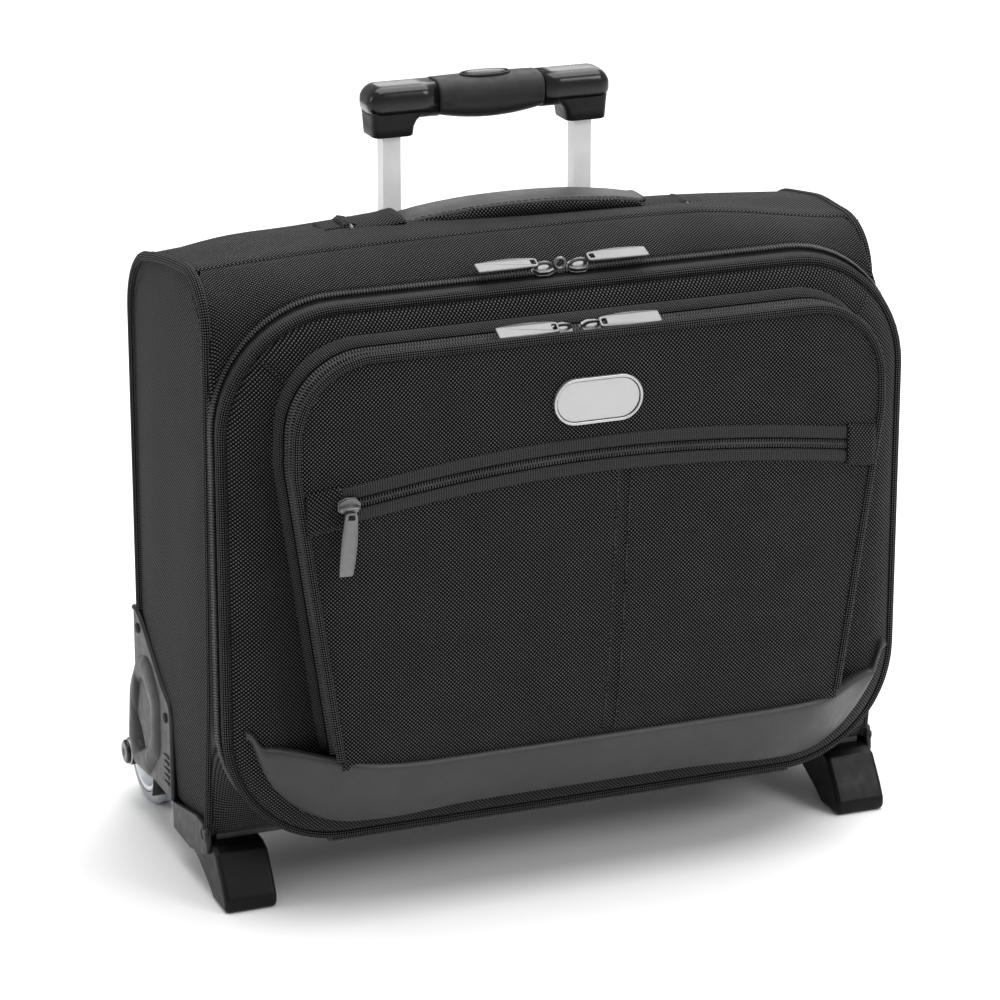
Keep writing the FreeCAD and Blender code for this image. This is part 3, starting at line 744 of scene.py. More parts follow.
def side_panels():
    """Quilted side cloth with its corded seam and a row of stitches."""
    outline = side_outline()
    peak = int(np.argmax(outline[:, 1]))
    front, rear = outline[:peak + 1], outline[peak:][::-1]
    rear = rear[(rear[:, 1] > BASE) | (rear[:, 0] > 0)]
    levels = 1 - (1 - np.linspace(0, 0.985, 44)) ** 1.4
    for name, sign in SIDES:
        rows = []
        for level in levels:
            ends = []
            for path in (front, rear):
                along = lengths(path)
                where = level * along[-1]
                ends.append((np.interp(where, along, path[:, 0]),
                             np.interp(where, along, path[:, 1])))
            (y0, z0), (y1, z1) = ends
            y1 = min(y1, 58 * MM + max(0, z1 - 66 * MM) * 1.5)
            ys, zs = np.linspace(y0, y1, 26), np.linspace(z0, z1, 26)
            u, v = np.linspace(-1, 1, 26), level * 2 - 1
            full = (1 - np.abs(u) ** 3) * (1 - abs(v) ** 4)
            xs = HALF + (3.2 * full + 0.5 * np.sin(ys * 55 + zs * 22) * full) * MM
            rows.append(lean(xyz(xs * sign, ys, zs)))
        rows = np.array(rows)
        uv = np.stack([rows[..., 1], rows[..., 2]], axis=-1)
        grid("side_fabric_" + name, rows, FABRIC, "case", thick=-CLOTH * sign, uv=uv,
             replaces=["side_panel_" + name])
        rim = np.array([(sign * (HALF + 0.3 * MM), y, z) for y, z in outline
                        if not (y > 70 * MM and z < 137 * MM)])
        rim = np.vstack([rim, [sign * (HALF + 0.3 * MM), BACK, 137 * MM]])
        cord_piece("side_cord_" + name, lean(rim), PIPING, FABRIC_PIPING, "case", up=(1, 0, 0),
                   replaces=["side_piping_" + name])
        inner_rim = [(sign * (HALF + 1.4 * MM), y * 0.92 + 0.0004, BASE + (z - BASE) * 0.972)
                     for y, z in outline if z > 60 * MM and not (y > 60 * MM and z < 150 * MM)]
        stitches("side_stitches_" + name, lean(inner_rim), (sign, 0, 0), "case")


front_gusset()
body_wrap()
side_panels()


# ------------------------------------------------------------------ lid

def disc_fill(rings, steps=(0.75, 0.5, 0.25, 0.02, 0.001)):
    """More rings that close the middle of a panel, the last two close enough to shade flat."""
    last = rings[-1]
    centre = last.mean(0)
    return rings + [centre + (last - centre) * s for s in steps]


def flat_uv(rows):
    """UVs of a closed panel seen from the front."""
    rows = np.asarray(rows)
    uv = np.stack([rows[..., 0], rows[..., 2]], axis=-1)
    return np.concatenate([uv, uv[:, :1]], axis=1)


def lid():
    """Main zip, binding, corded seam and the dished front panel with its mitred corners."""
    path = lid_path()
    zips = zip_path()
    tape_edge = FRONT_TOP - 3 * MM
    normal = outward(zips)
    up = xyz(normal[:, 0], -0.15, normal[:, 1])
    upper = zips[:, 1] > 52 * MM
    start = int(np.argmax(upper & ~np.roll(upper, 1)))
    order = [i % len(zips) for i in range(start, start + len(zips)) if upper[i % len(zips)]]
    line = at_y(zips, tape_edge - 2.2 * MM)[order]
    teeth, ups = coil_frames(line, up[order], COIL_PITCH)
    zip_chain("main_coil", teeth, ups, "case", pitch=COIL_PITCH, replaces=["main_zip_coil"])
    rows = [at_y(inset(zips, -0.1 * MM), tape_edge + 0.8 * MM),
            at_y(inset(zips, 0.3 * MM), tape_edge - 2 * MM)]
    grid("main_tape_case", rows, TAPE, "case", closed=True, thick=-0.8 * MM)
    rim = at_y(path, LID_RIM)
    near = at_y(inset(zips, 0.3 * MM), tape_edge - 2.4 * MM)
    rows = [near + (rim - near) * t for t in (0, 0.25, 0.45)]
    grid("main_tape_lid", rows, TAPE, "lid", closed=True, thick=-0.8 * MM)
    rows = []
    for t in np.linspace(0.38, 1, 6):
        ring = near + (rim - near) * t
        bulge = 0.9 * MM * math.sin(math.pi * (t - 0.38) / 0.62)
        out = outward(path)
        ring[:, 0] += out[:, 0] * (bulge + 0.5 * MM)
        ring[:, 2] += out[:, 1] * (bulge + 0.5 * MM)
        rows.append(ring)
    grid("lid_binding", rows, BINDING, "lid", closed=True, thick=-1 * MM, replaces=["lid_wall"])
    cord_piece("lid_cord", at_y(path, LID_RIM), PIPING, FABRIC_PIPING, "lid", closed=True)
    profile = ((1.5, -1.0), (4, -4.5), (7, -7.2), (11, -9.6), (16, -11.8), (22, -13.3), (29, -14.2),
               (38, -14.5), (52, -14.5))
    rings = [at_y(inset(path, d * MM), LID_RIM + y * MM) for d, y in profile]
    rings = disc_fill(rings)
    grid("lid_face", rings, FABRIC, "lid", closed=True, thick=-CLOTH, uv=flat_uv(rings),
         replaces=["lid_panel"])
    for corner, (cx, cz) in enumerate(((1, 1), (-1, 1))):
        seam = []
        for d, y in profile[1:7]:
            ring = inset(path, d * MM)
            index = np.argmax(ring[:, 0] * cx + ring[:, 1] * cz)
            seam.append((ring[index, 0], LID_RIM + y * MM - 0.2 * MM, ring[index, 1]))
        cord_piece("mitre_seam_%d" % corner, seam, 0.9 * MM, FABRIC, "lid", spacing=3 * MM)


lid()


# ------------------------------------------------------------------ trim band

def trim_edge(x):
    """Upper and lower edge points of the trim at an X."""
    far = np.abs(x)
    sweep = smooth_step((far - 140 * MM) / (74 * MM))    # the ends turn back round the corners
    high = 99.5 * MM + np.where(x < 0, 10 * MM, 3 * MM) * smooth_step((far - 105 * MM) / (105 * MM))
    high_y = trim_lo.y + 1.5 * MM + 37 * MM * sweep
    reach = lid_hi.x - LID_ROUND
    radius = LID_ROUND - 14 * MM
    drop = radius - np.sqrt(np.clip(radius ** 2 - np.clip(far - reach, 0, radius) ** 2, 0, None))
    low = lid_lo.z + 16.5 * MM + drop
    low = low + 4.5 * MM * (1 - smooth_step((far - 60 * MM) / (100 * MM)))
    low_y = LID_RIM - 26 * MM + 18 * MM * smooth_step((far - 110 * MM) / (95 * MM))
    return (np.stack([x, high_y, np.maximum(high, low + 2 * MM)], -1),
            np.stack([x, low_y, low], -1))


def trim_band():
    """Leatherette band across the foot of the lid, turned in at both edges."""
    xs = np.concatenate([-np.flip(np.linspace(0, 1, 40)[1:] ** 0.8), np.linspace(0, 1, 40) ** 0.8])
    xs = xs * (lid_hi.x - 7.5 * MM)
    high, low = trim_edge(xs)
    rows = [high + np.array([0, 9 * MM, -1.5 * MM]), high + np.array([0, 3 * MM, 0.9 * MM])]
    for t in np.linspace(0, 1, 12):
        row = high + (low - high) * t
        row[:, 1] -= 4.0 * MM * math.sin(math.pi * (0.08 + 0.86 * t)) ** 0.8
        rows.append(row)
    rows.append(low + np.array([0, 3 * MM, -1.0 * MM]))
    rows.append(low + np.array([0, 12 * MM, 0.5 * MM]))
    made = grid("trim_band_skin", rows, TRIM, "lid", thick=-1.4 * MM, replaces=["trim_band"])
    modify(made, "SUBSURF", levels=1, render_levels=1)


trim_band()


# ------------------------------------------------------------------ organiser pocket

def pocket_half(z):
    """Half the pocket's width at a height."""
    path = pocket_path()
    right = path[path[:, 0] > 0]
    order = np.argsort(right[:, 1])
    return np.interp(z, right[order][:, 1], right[order][:, 0])


def pocket_face_y(x, z):
    """Y of the pocket's padded face."""
    half = np.maximum(pocket_half(z), 1 * MM)
    u = np.clip(np.abs(x) / half, 0, 1)
    low, high = pocket_lo.z, pocket_hi.z
    v = np.clip((z - low) / (high - low) * 2 - 1, -1, 1)
    swell = (1 - u ** 7) * (1 - np.where(v > 0, np.abs(v) ** 9, 0.75 * np.abs(v) ** 5))
    ripple = 0.35 * MM * np.sin(x * 42 + 1.0) * np.sin(z * 35) * swell
    return POCKET_RIM - 0.8 * MM - 6.4 * MM * swell + ripple


def slip_line(x):
    """Height of the slip pocket's zip."""
    return SLIP_CROWN - SLIP_RADIUS + np.sqrt(SLIP_RADIUS ** 2 - x ** 2)


def face_panel(name, low_line, high_line, rows_count, body, groove=None):
    """Part of the pocket's face between a lower and an upper line."""
    us = np.concatenate([np.linspace(-1, -0.94, 5)[:-1], np.linspace(-0.94, 0.94, 78),
                         np.linspace(0.94, 1, 5)[1:]])
    rows = []
    for t in np.linspace(0, 1, rows_count):
        x = us * pocket_half(0.24)
        for _ in range(4):
            z = low_line(x) + (high_line(x) - low_line(x)) * t
            x = us * pocket_half(z)
        y = pocket_face_y(x, z)
        if groove is not None:
            y = y + groove(x, z)
        rows.append(xyz(x, y, z))
    rows = np.array(rows)
    uv = np.stack([rows[..., 0], rows[..., 2]], axis=-1)
    return grid(name, rows, FABRIC, body, thick=-1.0 * MM, uv=uv)


def centre_seam(z):
    """X of the seam between the two lower panels."""
    return 8 * MM + (z - 104 * MM) * 0.045


def seam_groove(x, z):
    """Depth of the hollow along the centre seam."""
    return 1.3 * MM * np.exp(-((x - centre_seam(z)) / (2.2 * MM)) ** 2)


def pocket():
    """The organiser pocket: walls, zip, face panels and the slip pocket across its face."""
    path = pocket_path()
    normal = outward(path, closed=False)
    up = xyz(normal[:, 0], np.zeros(len(path)), normal[:, 1])

    def wall(name, profile, material, body, **rest):
        rows = [at_y(inset(path, d * MM, closed=False), y) for d, y in profile]
        return grid(name, rows, material, body, thick=-1 * MM, **rest)

    base = LID_FACE
    wall("pocket_wall_base", ((-5.5, base + 1.5 * MM), (-4.6, base - 1.5 * MM),
                              (-4.4, base - 4 * MM), (-2.2, POCKET_ZIP + 4.4 * MM)),
         FABRIC_PIPING, "lid", replaces=["pocket_base_wall"])
    wall("pocket_tape_lid", ((-2.0, POCKET_ZIP + 6 * MM), (0.9, POCKET_ZIP + 0.2 * MM)), TAPE,
         "lid")
    wall("pocket_tape_flap", ((1.1, POCKET_ZIP - 0.2 * MM), (4, POCKET_ZIP - 6 * MM)), TAPE,
         "pocket_flap")
    wall("pocket_binding", ((2.6, POCKET_ZIP - 4.4 * MM), (1.4, POCKET_ZIP - 6.4 * MM),
                            (0.6, POCKET_ZIP - 9.5 * MM), (0.8, POCKET_RIM + 1 * MM)),
         BINDING, "pocket_flap", replaces=["pocket_wall"])
    line = at_y(inset(path, 0.9 * MM, closed=False), POCKET_ZIP)
    teeth, ups = coil_frames(line, up, COIL_PITCH)
    ups = ups * 0.75 + np.array([0, -0.66, 0])
    zip_chain("pocket_coil", teeth, ups, "lid", wide=6.4 * MM, pitch=COIL_PITCH,
              replaces=["pocket_zip_coil"])
    cord_piece("pocket_cord", at_y(path, POCKET_RIM), PIPING * 0.95, FABRIC_PIPING, "pocket_flap")
    gap = 7.5 * MM
    face_panel("pocket_face_upper", lambda x: slip_line(x) + gap, lambda x: pocket_hi.z + 0 * x, 34,
               "pocket_flap")
    lower = face_panel("pocket_face_lower", lambda x: pocket_lo.z - 2 * MM + 0 * x,
                       lambda x: slip_line(x) - gap, 44, "pocket_flap", seam_groove)
    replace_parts(lower, "pocket_panel")
    seam_z = np.linspace(106 * MM, 268 * MM, 40)
    for name, shift in (("left", -4 * MM), ("right", 4 * MM)):
        xs = centre_seam(seam_z) + shift
        stitches("seam_stitches_" + name, xyz(xs, pocket_face_y(xs, seam_z) - 0.1 * MM, seam_z),
                 (0, -1, 0), "pocket_flap")
    xs = np.linspace(-pocket_half(0.268) + 3 * MM, pocket_half(0.268) - 3 * MM, 90)

    def along_slip(offset, depth):
        z = slip_line(xs) + offset
        return xyz(xs, pocket_face_y(xs, z) + depth, z)

    grid("slip_tape", [along_slip(-9 * MM, 1.4 * MM), along_slip(0, 1.2 * MM),
                       along_slip(9 * MM, 1.4 * MM)], TAPE, "pocket_flap", thick=-0.6 * MM)
    zip_chain("slip_coil", along_slip(0, 0.9 * MM), (0, -1, 0), "pocket_flap", wide=5.6 * MM,
              pitch=1.7 * MM)
    for name, side in (("upper", 1), ("lower", -1)):
        fold = [along_slip(side * 4.2 * MM, 0.9 * MM), along_slip(side * 4.0 * MM, -0.4 * MM),
                along_slip(side * 5.2 * MM, -1.2 * MM), along_slip(side * 9.5 * MM, -0.9 * MM),
                along_slip(side * 10.8 * MM, 0.3 * MM)]
        if side > 0:
            fold = fold[::-1]
        grid("slip_fold_" + name, fold, BINDING, "pocket_flap", thick=-0.7 * MM)
        stitches("slip_stitches_" + name, along_slip(side * 8.6 * MM, -1.2 * MM), (0, -1, 0),
                 "pocket_flap")
    for name, side in SIDES:
        x_in, x_out = 160 * MM, pocket_half(0.266) - 2.0 * MM
        us = np.linspace(x_in, x_out, 8) * side
        rows = []
        for t in np.linspace(-1, 1, 9):
            z = slip_line(us) + t * 12.5 * MM
            edge = 1 if abs(t) < 0.99 else 0
            rows.append(xyz(us, pocket_face_y(us, z) - 1.8 * MM * edge, z))
        grid("slip_tab_" + name, rows, FABRIC, "pocket_flap", thick=1.0 * MM * side)
        frame_x = (x_in + 1.8 * MM) * side
        frame_z = slip_line(frame_x) + np.linspace(-11, 11, 12) * MM
        frame_y = pocket_face_y(frame_x, frame_z) - 2 * MM
        stitches("slip_tab_stitches_" + name, xyz(frame_x, frame_y, frame_z), (0, -1, 0),
                 "pocket_flap")


pocket()


# ------------------------------------------------------------------ moulded and metal helpers

# Where an outline's two directions and its depth go, for each axis it can be pushed along.
AXES = {"X": lambda u, v, w: (w, u, v), "Y": lambda u, v, w: (u, w, v),
        "Z": lambda u, v, w: (u, v, w)}


def shaped(name, outlines, axis, low, high, bevel, material, body, bend=None, flip=None, **rest):
    """A moulding: an outline and any holes in it, pushed along an axis, with soft edges."""
    curve = bpy.data.curves.new(name, "CURVE")
    curve.dimensions = "2D"
    curve.fill_mode = "BOTH"
    curve.extrude = (high - low) / 2 - bevel
    curve.bevel_depth = bevel
    curve.bevel_resolution = 3
    curve.offset = -bevel
    for outline in outlines:
        spline = curve.splines.new("POLY")
        spline.points.add(len(outline) - 1)
        for point, (u, v) in zip(spline.points, outline):
            point.co = (u, v, 0, 1)
        spline.use_cyclic_u = True
    ghost = bpy.data.objects.new(name, curve)
    bpy.context.collection.objects.link(ghost)
    bpy.context.view_layer.update()
    filled = bpy.data.meshes.new_from_object(
        ghost.evaluated_get(bpy.context.evaluated_depsgraph_get()))
    bpy.data.objects.remove(ghost)
    welded = bmesh.new()
    welded.from_mesh(filled)
    bmesh.ops.remove_doubles(welded, verts=welded.verts, dist=1e-6)
    bmesh.ops.recalc_face_normals(welded, faces=welded.faces)
    verts = []
    for vertex in welded.verts:
        u, v, w = vertex.co
        w += (low + high) / 2
        verts.append(bend(u, v, w) if bend else AXES[axis](u, v, w))
    welded.verts.index_update()
    turn_over = (axis == "Y") if flip is None else flip
    faces = [[v.index for v in (reversed(f.verts) if turn_over else f.verts)] for f in welded.faces]
    welded.free()
    uvs = [(verts[i][0] + verts[i][1], verts[i][2]) for f in faces for i in f]
    made = piece(name, verts, faces, material, body, uvs, **rest)
    made.data.set_sharp_from_angle(angle=math.radians(40))
    modify(made, "WEIGHTED_NORMAL", keep_sharp=True)
    return made


def rounded(corners, radii, steps=6):
    """An outline in millimetres with round corners."""
    if isinstance(radii, (int, float)):
        radii = [radii] * len(corners)
    return fillet_path([(u * MM, v * MM) for u, v in corners], [r * MM for r in radii], steps, 3)


def circle(u, v, radius, count=40):
    """Points of a circle."""
    t = np.linspace(0, math.tau, count, endpoint=False)
    return np.stack([u + radius * np.cos(t), v + radius * np.sin(t)], 1)


def stadium(u, v, half, radius):
    """A slot shape: two half circles joined by straight sides."""
    ends = np.linspace(-math.pi / 2, math.pi / 2, 17)
    right = np.stack([u + half - radius + radius * np.cos(ends), v + radius * np.sin(ends)], 1)
    left = np.stack([u - half + radius - radius * np.cos(ends), v - radius * np.sin(ends)], 1)
    return np.vstack([right, left])


def turned(name, profile, centre, material, body, count=72, **rest):
    """A profile of (x, radius) pairs turned about an axle along X."""
    t = np.linspace(0, math.tau, count, endpoint=False)
    rings = [xyz(centre[0] + x, centre[1] + r * np.cos(t), centre[2] + r * np.sin(t))
             for x, r in profile]
    return grid(name, rings, material, body, closed=True, **rest)


def both_sides(half):
    """A profile of (x, radius) pairs followed by its mirror image."""
    return list(half) + [(-x, radius) for x, radius in reversed(half)]


def profile_mm(side, *pairs):
    """A profile given in millimetres outward along X and of radius."""
    return [(side * x * MM, radius * MM) for x, radius in pairs]


def oval_ring(wide, high, power=2.8, count=40):
    """A superellipse, between an oval and a rectangle."""
    t = np.linspace(0, math.tau, count, endpoint=False)
    c, s = np.cos(t), np.sin(t)
    return (np.sign(c) * np.abs(c) ** (2 / power) * wide,
            np.sign(s) * np.abs(s) ** (2 / power) * high)


def frame_matrix(origin, along, normal):
    """A part's own axes: along, across and out of the surface."""
    along, normal = Vector(along).normalized(), Vector(normal).normalized()
    side = normal.cross(along)
    return Matrix(((along.x, side.x, normal.x, origin[0]), (along.y, side.y, normal.y, origin[1]),
                   (along.z, side.z, normal.z, origin[2]), (0, 0, 0, 1)))


def merge(objs, name):
    """Joins pieces of one material into the first one."""
    joined = bmesh.new()
    for obj in objs:
        for modifier in list(obj.modifiers):
            obj.modifiers.remove(modifier)
        joined.from_mesh(obj.data)
    joined.to_mesh(objs[0].data)
    joined.free()
    for obj in objs[1:]:
        bpy.data.objects.remove(obj)
    objs[0].name = name
    return objs[0]


# ------------------------------------------------------------------ zip sliders and pullers

def zip_slider(node, along, normal, body, shift=Vector((0, 0, 0))):
    """Body of a slider: two shield plates, a neck between them and the loop on top."""
    origin = middle(node) + shift - Vector(normal).normalized() * 2.6 * MM
    matrix = frame_matrix(origin, along, normal)

    def world(u, v, w):
        return tuple(matrix @ Vector((u, v, w)))

    shield = rounded(((-7, -1.5), (-4, -4.6), (2, -4.9), (6.5, -3), (6.5, 3), (2, 4.9), (-4, 4.6),
                      (-7, 1.5)), 1.2)
    parts = [
        shaped(node + "_a", [shield], "Z", -0.6 * MM, 0.8 * MM, 0.45 * MM, NICKEL, body,
               bend=world, flip=False),
        shaped(node + "_b", [shield * 0.94], "Z", 1.7 * MM, 3.0 * MM, 0.45 * MM, NICKEL, body,
               bend=world, flip=False),
        shaped(node + "_c", [circle(-1 * MM, 0, 1.8 * MM, 20)], "Z", 0, 2.6 * MM, 0.2 * MM, NICKEL,
               body, bend=world, flip=False),
    ]
    arch = [(-4.6, 0, 2.6), (-4.7, 0, 4.4), (-3.6, 0, 5.9), (-1, 0, 6.5), (2, 0, 6.2), (4, 0, 5),
            (4.9, 0, 3.6), (5, 0, 2.6)]
    arch = [world(*(c * MM for c in p)) for p in arch]
    parts.append(cord_piece(node + "_d", arch, 1.35 * MM, NICKEL, body, up=matrix.col[1].xyz,
                            spacing=0.9 * MM, flat=0.6))
    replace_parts(merge(parts, node + "_casting"), node)


def zip_puller(node, eye, along, normal, body):
    """Bowed tongue with a square eye at its narrow end."""
    matrix = frame_matrix(eye, along, normal)
    stations = np.array([-1.8, -1.2, 0, 3, 6, 10, 15, 20, 25, 30, 33.5, 35.4, 36.4])
    halves = np.array([2.4, 3.3, 3.8, 4.1, 4.3, 4.6, 4.8, 4.8, 4.7, 4.5, 4.3, 4.1, 3.7])
    fine = np.linspace(-1.8, 36.4, 46)
    wide = np.interp(fine, stations, halves)
    slant = fine + np.where(fine > 33, 0.5, 0.0)
    outline = np.vstack([np.stack([slant, -wide], 1), np.stack([fine, wide], 1)[::-1]]) * MM
    eye_hole = rounded(((-0.2, -1.9), (2.6, -1.9), (2.6, 1.9), (-0.2, 1.9)), 0.6, 4)

    def world(u, v, w):
        bow = 0.8 * MM * (1 - ((u / MM - 17) / 19) ** 2)
        barrel = -0.25 * MM * (v / (4.8 * MM)) ** 2
        return tuple(matrix @ Vector((u, v, w + bow + barrel)))

    shaped(node + "_tongue", [outline, eye_hole], "Z", 0, 1.9 * MM, 0.6 * MM, NICKEL, body,
           bend=world, flip=False, replaces=[node])


def zip_hardware():
    """Every slider and puller, and the ring for a padlock between the main ones."""
    tilt = math.radians(24)
    tilted = (0, -math.sin(tilt), math.cos(tilt))
    steep = (0, -math.sin(tilt * 1.5), math.cos(tilt * 1.5))
    for row, normal, sunk in (("main", tilted, (0, 0, 0)), ("pocket", steep, (-3, -3, -5.4))):
        for name, side in SIDES:
            slider, puller = "%s_slider_%s" % (row, name), "%s_puller_%s" % (row, name)
            shift = Vector(sunk) * MM
            shift.x *= side
            zip_slider(slider, (-side, 0, 0), normal, slider + "_body", shift * 0.6)
            low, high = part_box(puller)
            spot = middle(puller)
            inner = high.x if side < 0 else low.x
            eye = Vector((inner + side * 2 * MM, spot.y, spot.z)) - Vector(normal) * 1.2 * MM
            zip_puller(puller, eye + shift, (side, 0, 0), normal, puller + "_body")
    zip_slider("slip_slider", (-1, 0, 0), (0, -1, 0), "slip_slider_body")
    low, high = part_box("slip_puller")
    eye = Vector(((low.x + high.x) / 2, high.y, high.z - 2 * MM))
    zip_puller("slip_puller", eye, (-0.1, 0, -0.995), (0, -1, 0), "slip_puller_body")
    spot = middle("padlock_eyelet")
    x, z = circle(spot.x, spot.z, 3.1 * MM, 24).T
    ring = xyz(x, spot.y, z)
    bezel = cord_piece("eyelet_ring", ring, 1.25 * MM, NICKEL, "case", closed=True,
                       spacing=0.8 * MM, replaces=["padlock_eyelet"])
    left, right, foot_z, head_z = spot.x / MM - 2, spot.x / MM + 2, 371.5, 376.4
    shank = rounded(((left, foot_z), (right, foot_z), (right, head_z), (left, head_z)), 0.8)
    stem = shaped("eyelet_stem", [shank], "Y", spot.y - 1 * MM, spot.y + 1 * MM, 0.4 * MM, NICKEL,
                  "case")
    merge([bezel, stem], "eyelet_ring")


def badge():
    """A blank plate in a raised rim."""
    low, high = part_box("badge_plate")
    x, z = middle("badge_plate").x - 2.5 * MM, middle("badge_plate").z + 0.5 * MM
    half, radius = (high.x - low.x) / 2, (high.z - low.z) / 2
    face = pocket_face_y(np.array([x]), np.array([z]))[0]
    rim = [stadium(x, z, half, radius), stadium(x, z, half - 1.7 * MM, radius - 1.7 * MM)]
    shaped("badge_rim", rim, "Y", face - 2.3 * MM, face + 0.8 * MM, 0.55 * MM, BADGE_METAL,
           "pocket_flap", replaces=["badge_plate"])
    shaped("badge_face", [stadium(x, z, half - 2.1 * MM, radius - 2.1 * MM)], "Y", face - 1.3 * MM,
           face + 0.5 * MM, 0.2 * MM, BADGE_METAL, "pocket_flap")


zip_hardware()
badge()


# ------------------------------------------------------------------ telescopic handle

def grip():
    """The handle: gloss upper and matte lower ends, legs, rubber middle and the button."""
    low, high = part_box("grip_lower_shell")
    line = (low.y + high.y) / 2
    split, top, half = high.z - 9.5 * MM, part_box("grip_upper_shell")[1].z, high.x
    floor_z = low.z + 2.2 * MM
    for name, side in SIDES:
        for level, low_z, high_z, wide, end, finish in (
                ("upper", split + 0.25 * MM, top, 13.3 * MM, half, GLOSS_BLACK),
                ("lower", split - 4.5 * MM, split + 0.1 * MM, 12.2 * MM, half - 1.6 * MM,
                 MATTE_BLACK)):
            rings = []
            for t in np.concatenate([np.linspace(0, 1, 9), [1.6, 2.4, 3.4, 4.4]]):
                x = end - 10 * MM * min(1, t) - max(0, t - 1) * 10 * MM
                round_off = math.sqrt(max(0.0, 1 - (1 - min(1, t)) ** 2)) * 0.98 + 0.02
                y, z = oval_ring(wide * (0.45 + 0.55 * round_off), 11 * MM * round_off, 3.2, 44)
                z = z + (split - 4.5 * MM + top) / 2
                rings.append(xyz(side * x, line + y, np.clip(z, low_z, high_z)))
            grid("grip_%s_%s" % (level, name), rings, finish, "inner_stage", closed=True, caps=True)
        rings = []
        for z, inner, outer, deep in (
                (0, 50.4, 75.2, 10.8), (0.5, 49.8, 76, 11.3), (6, 49, 76.4, 11.5),
                (9.5, 47.2, 76.6, 11.7), (12.4, 43.5, 76.8, 11.9), (14.4, 38.5, 77, 12),
                (15.6, 34, 77, 12)):
            path = rounded(((inner, -deep), (outer, -deep), (outer, deep), (inner, deep)), 4.5, 6)
            rings.append(xyz(path[:, 0] * side, path[:, 1] + line, floor_z + z * MM))
        grid("grip_leg_" + name, rings, MATTE_BLACK, "inner_stage", closed=True, caps=True)
        recess = (side * 75.7 * MM, line - 1 * MM, floor_z + 8 * MM)
        screw_head = profile_mm(side, (0, 1.9), (0.3, 1.9), (0.3, 1.4), (0, 1.1))
        turned("grip_screw_" + name, screw_head, recess, GLOSS_BLACK, "inner_stage", 20, caps=True,
               slot=None)
    stands_for("grip_upper_left", "grip_upper_shell")
    stands_for("grip_lower_left", "grip_lower_shell")
    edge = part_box("grip_sleeve")[1].x
    rings = []
    for x in np.concatenate([[-1.0], np.linspace(-0.985, 0.985, 33), [1.0]]):
        lip = 1.0 if abs(x) < 0.99 else 0.96
        belly = 1 - x ** 2
        bottom = split - 3.7 * MM - 4.0 * MM * belly
        crest = top + (0.6 + 0.6 * belly) * MM
        y, z = oval_ring((14.1 + 0.4 * belly) * MM * lip, (crest - bottom) / 2 * lip, 3.0, 64)
        z = z + (crest + bottom) / 2
        groove = 1 - 0.04 * np.exp(-((z - split - 3 * MM) / (0.6 * MM)) ** 2)
        rings.append(xyz(x * edge, line + y * groove, z))
    grid("grip_belly", rings, RUBBER, "inner_stage", closed=True, caps=True,
         replaces=["grip_sleeve"])
    button_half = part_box("release_button")[1].x
    crest = top + 1.3 * MM
    rings = []
    for scale, lift in ((1.0, -1.5), (1.0, 0.4), (0.97, 1.0), (0.9, 1.5), (0.7, 2.0), (0.4, 2.2),
                        (0.1, 2.25)):
        x, y = oval_ring(button_half * 0.97 * scale, 6 * MM * scale, 2.3, 40)
        rings.append(xyz(x, line + y, crest - 0.4 * MM + lift * MM))
    grid("release_pad", rings, GLOSS_BLACK, "button", closed=True, caps=True,
         replaces=["release_button"])
    x, y = oval_ring(button_half * 1.1, 7.2 * MM, 2.3, 48)
    rim = xyz(x, line + y, crest + 0.1 * MM)
    cord_piece("button_rim", rim, 0.8 * MM, MATTE_BLACK, "inner_stage", closed=True, up=(0, 0, 1),
               spacing=1.5 * MM)


def button_leaf():
    """The bowed leaf that lifts the rods' yoke; the real leaf flattens when the button is pressed,
    but this one stays bowed.
    """
    low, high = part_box("button_spring")
    line, floor_z = (low.y + high.y) / 2, low.z + 0.25 * MM
    xs = np.linspace(low.x, high.x, 31)
    rise = (high.z - low.z - 0.6 * MM) * np.sin(np.linspace(0, math.pi, 31)) ** 1.5
    rows = [xyz(xs, line + v * MM, floor_z + rise) for v in (-2, -0.7, 0.7, 2)]
    leaf = grid("button_leaf", rows, STEEL, "inner_stage", replaces=["button_spring"])
    solid = modify(leaf, "SOLIDIFY", thickness=0.4 * MM, offset=0)
    settle(leaf, solid)
    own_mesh(leaf)


def bezel():
    """The plate that the handle's tubes slide through."""
    low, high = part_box("handle_bezel")
    line = (low.y + high.y) / 2 / MM
    outline = rounded(((-81, line - 12.5), (81, line - 12.5), (81, line + 12.5),
                       (-81, line + 12.5)), 7)
    tube_x, across, deep = 62.5, 7.6, 6.9
    holes = [rounded(((x - across, line - deep), (x + across, line - deep),
                      (x + across, line + deep), (x - across, line + deep)), 1.2, 4)
             for x in (-tube_x, tube_x)]
    shaped("bezel_moulding", [outline] + holes, "Z", high.z - 14 * MM, high.z - 2 * MM, 1.2 * MM,
           CORNER, "case", replaces=["handle_bezel"])


grip()
bezel()


# ------------------------------------------------------------------ carry handle

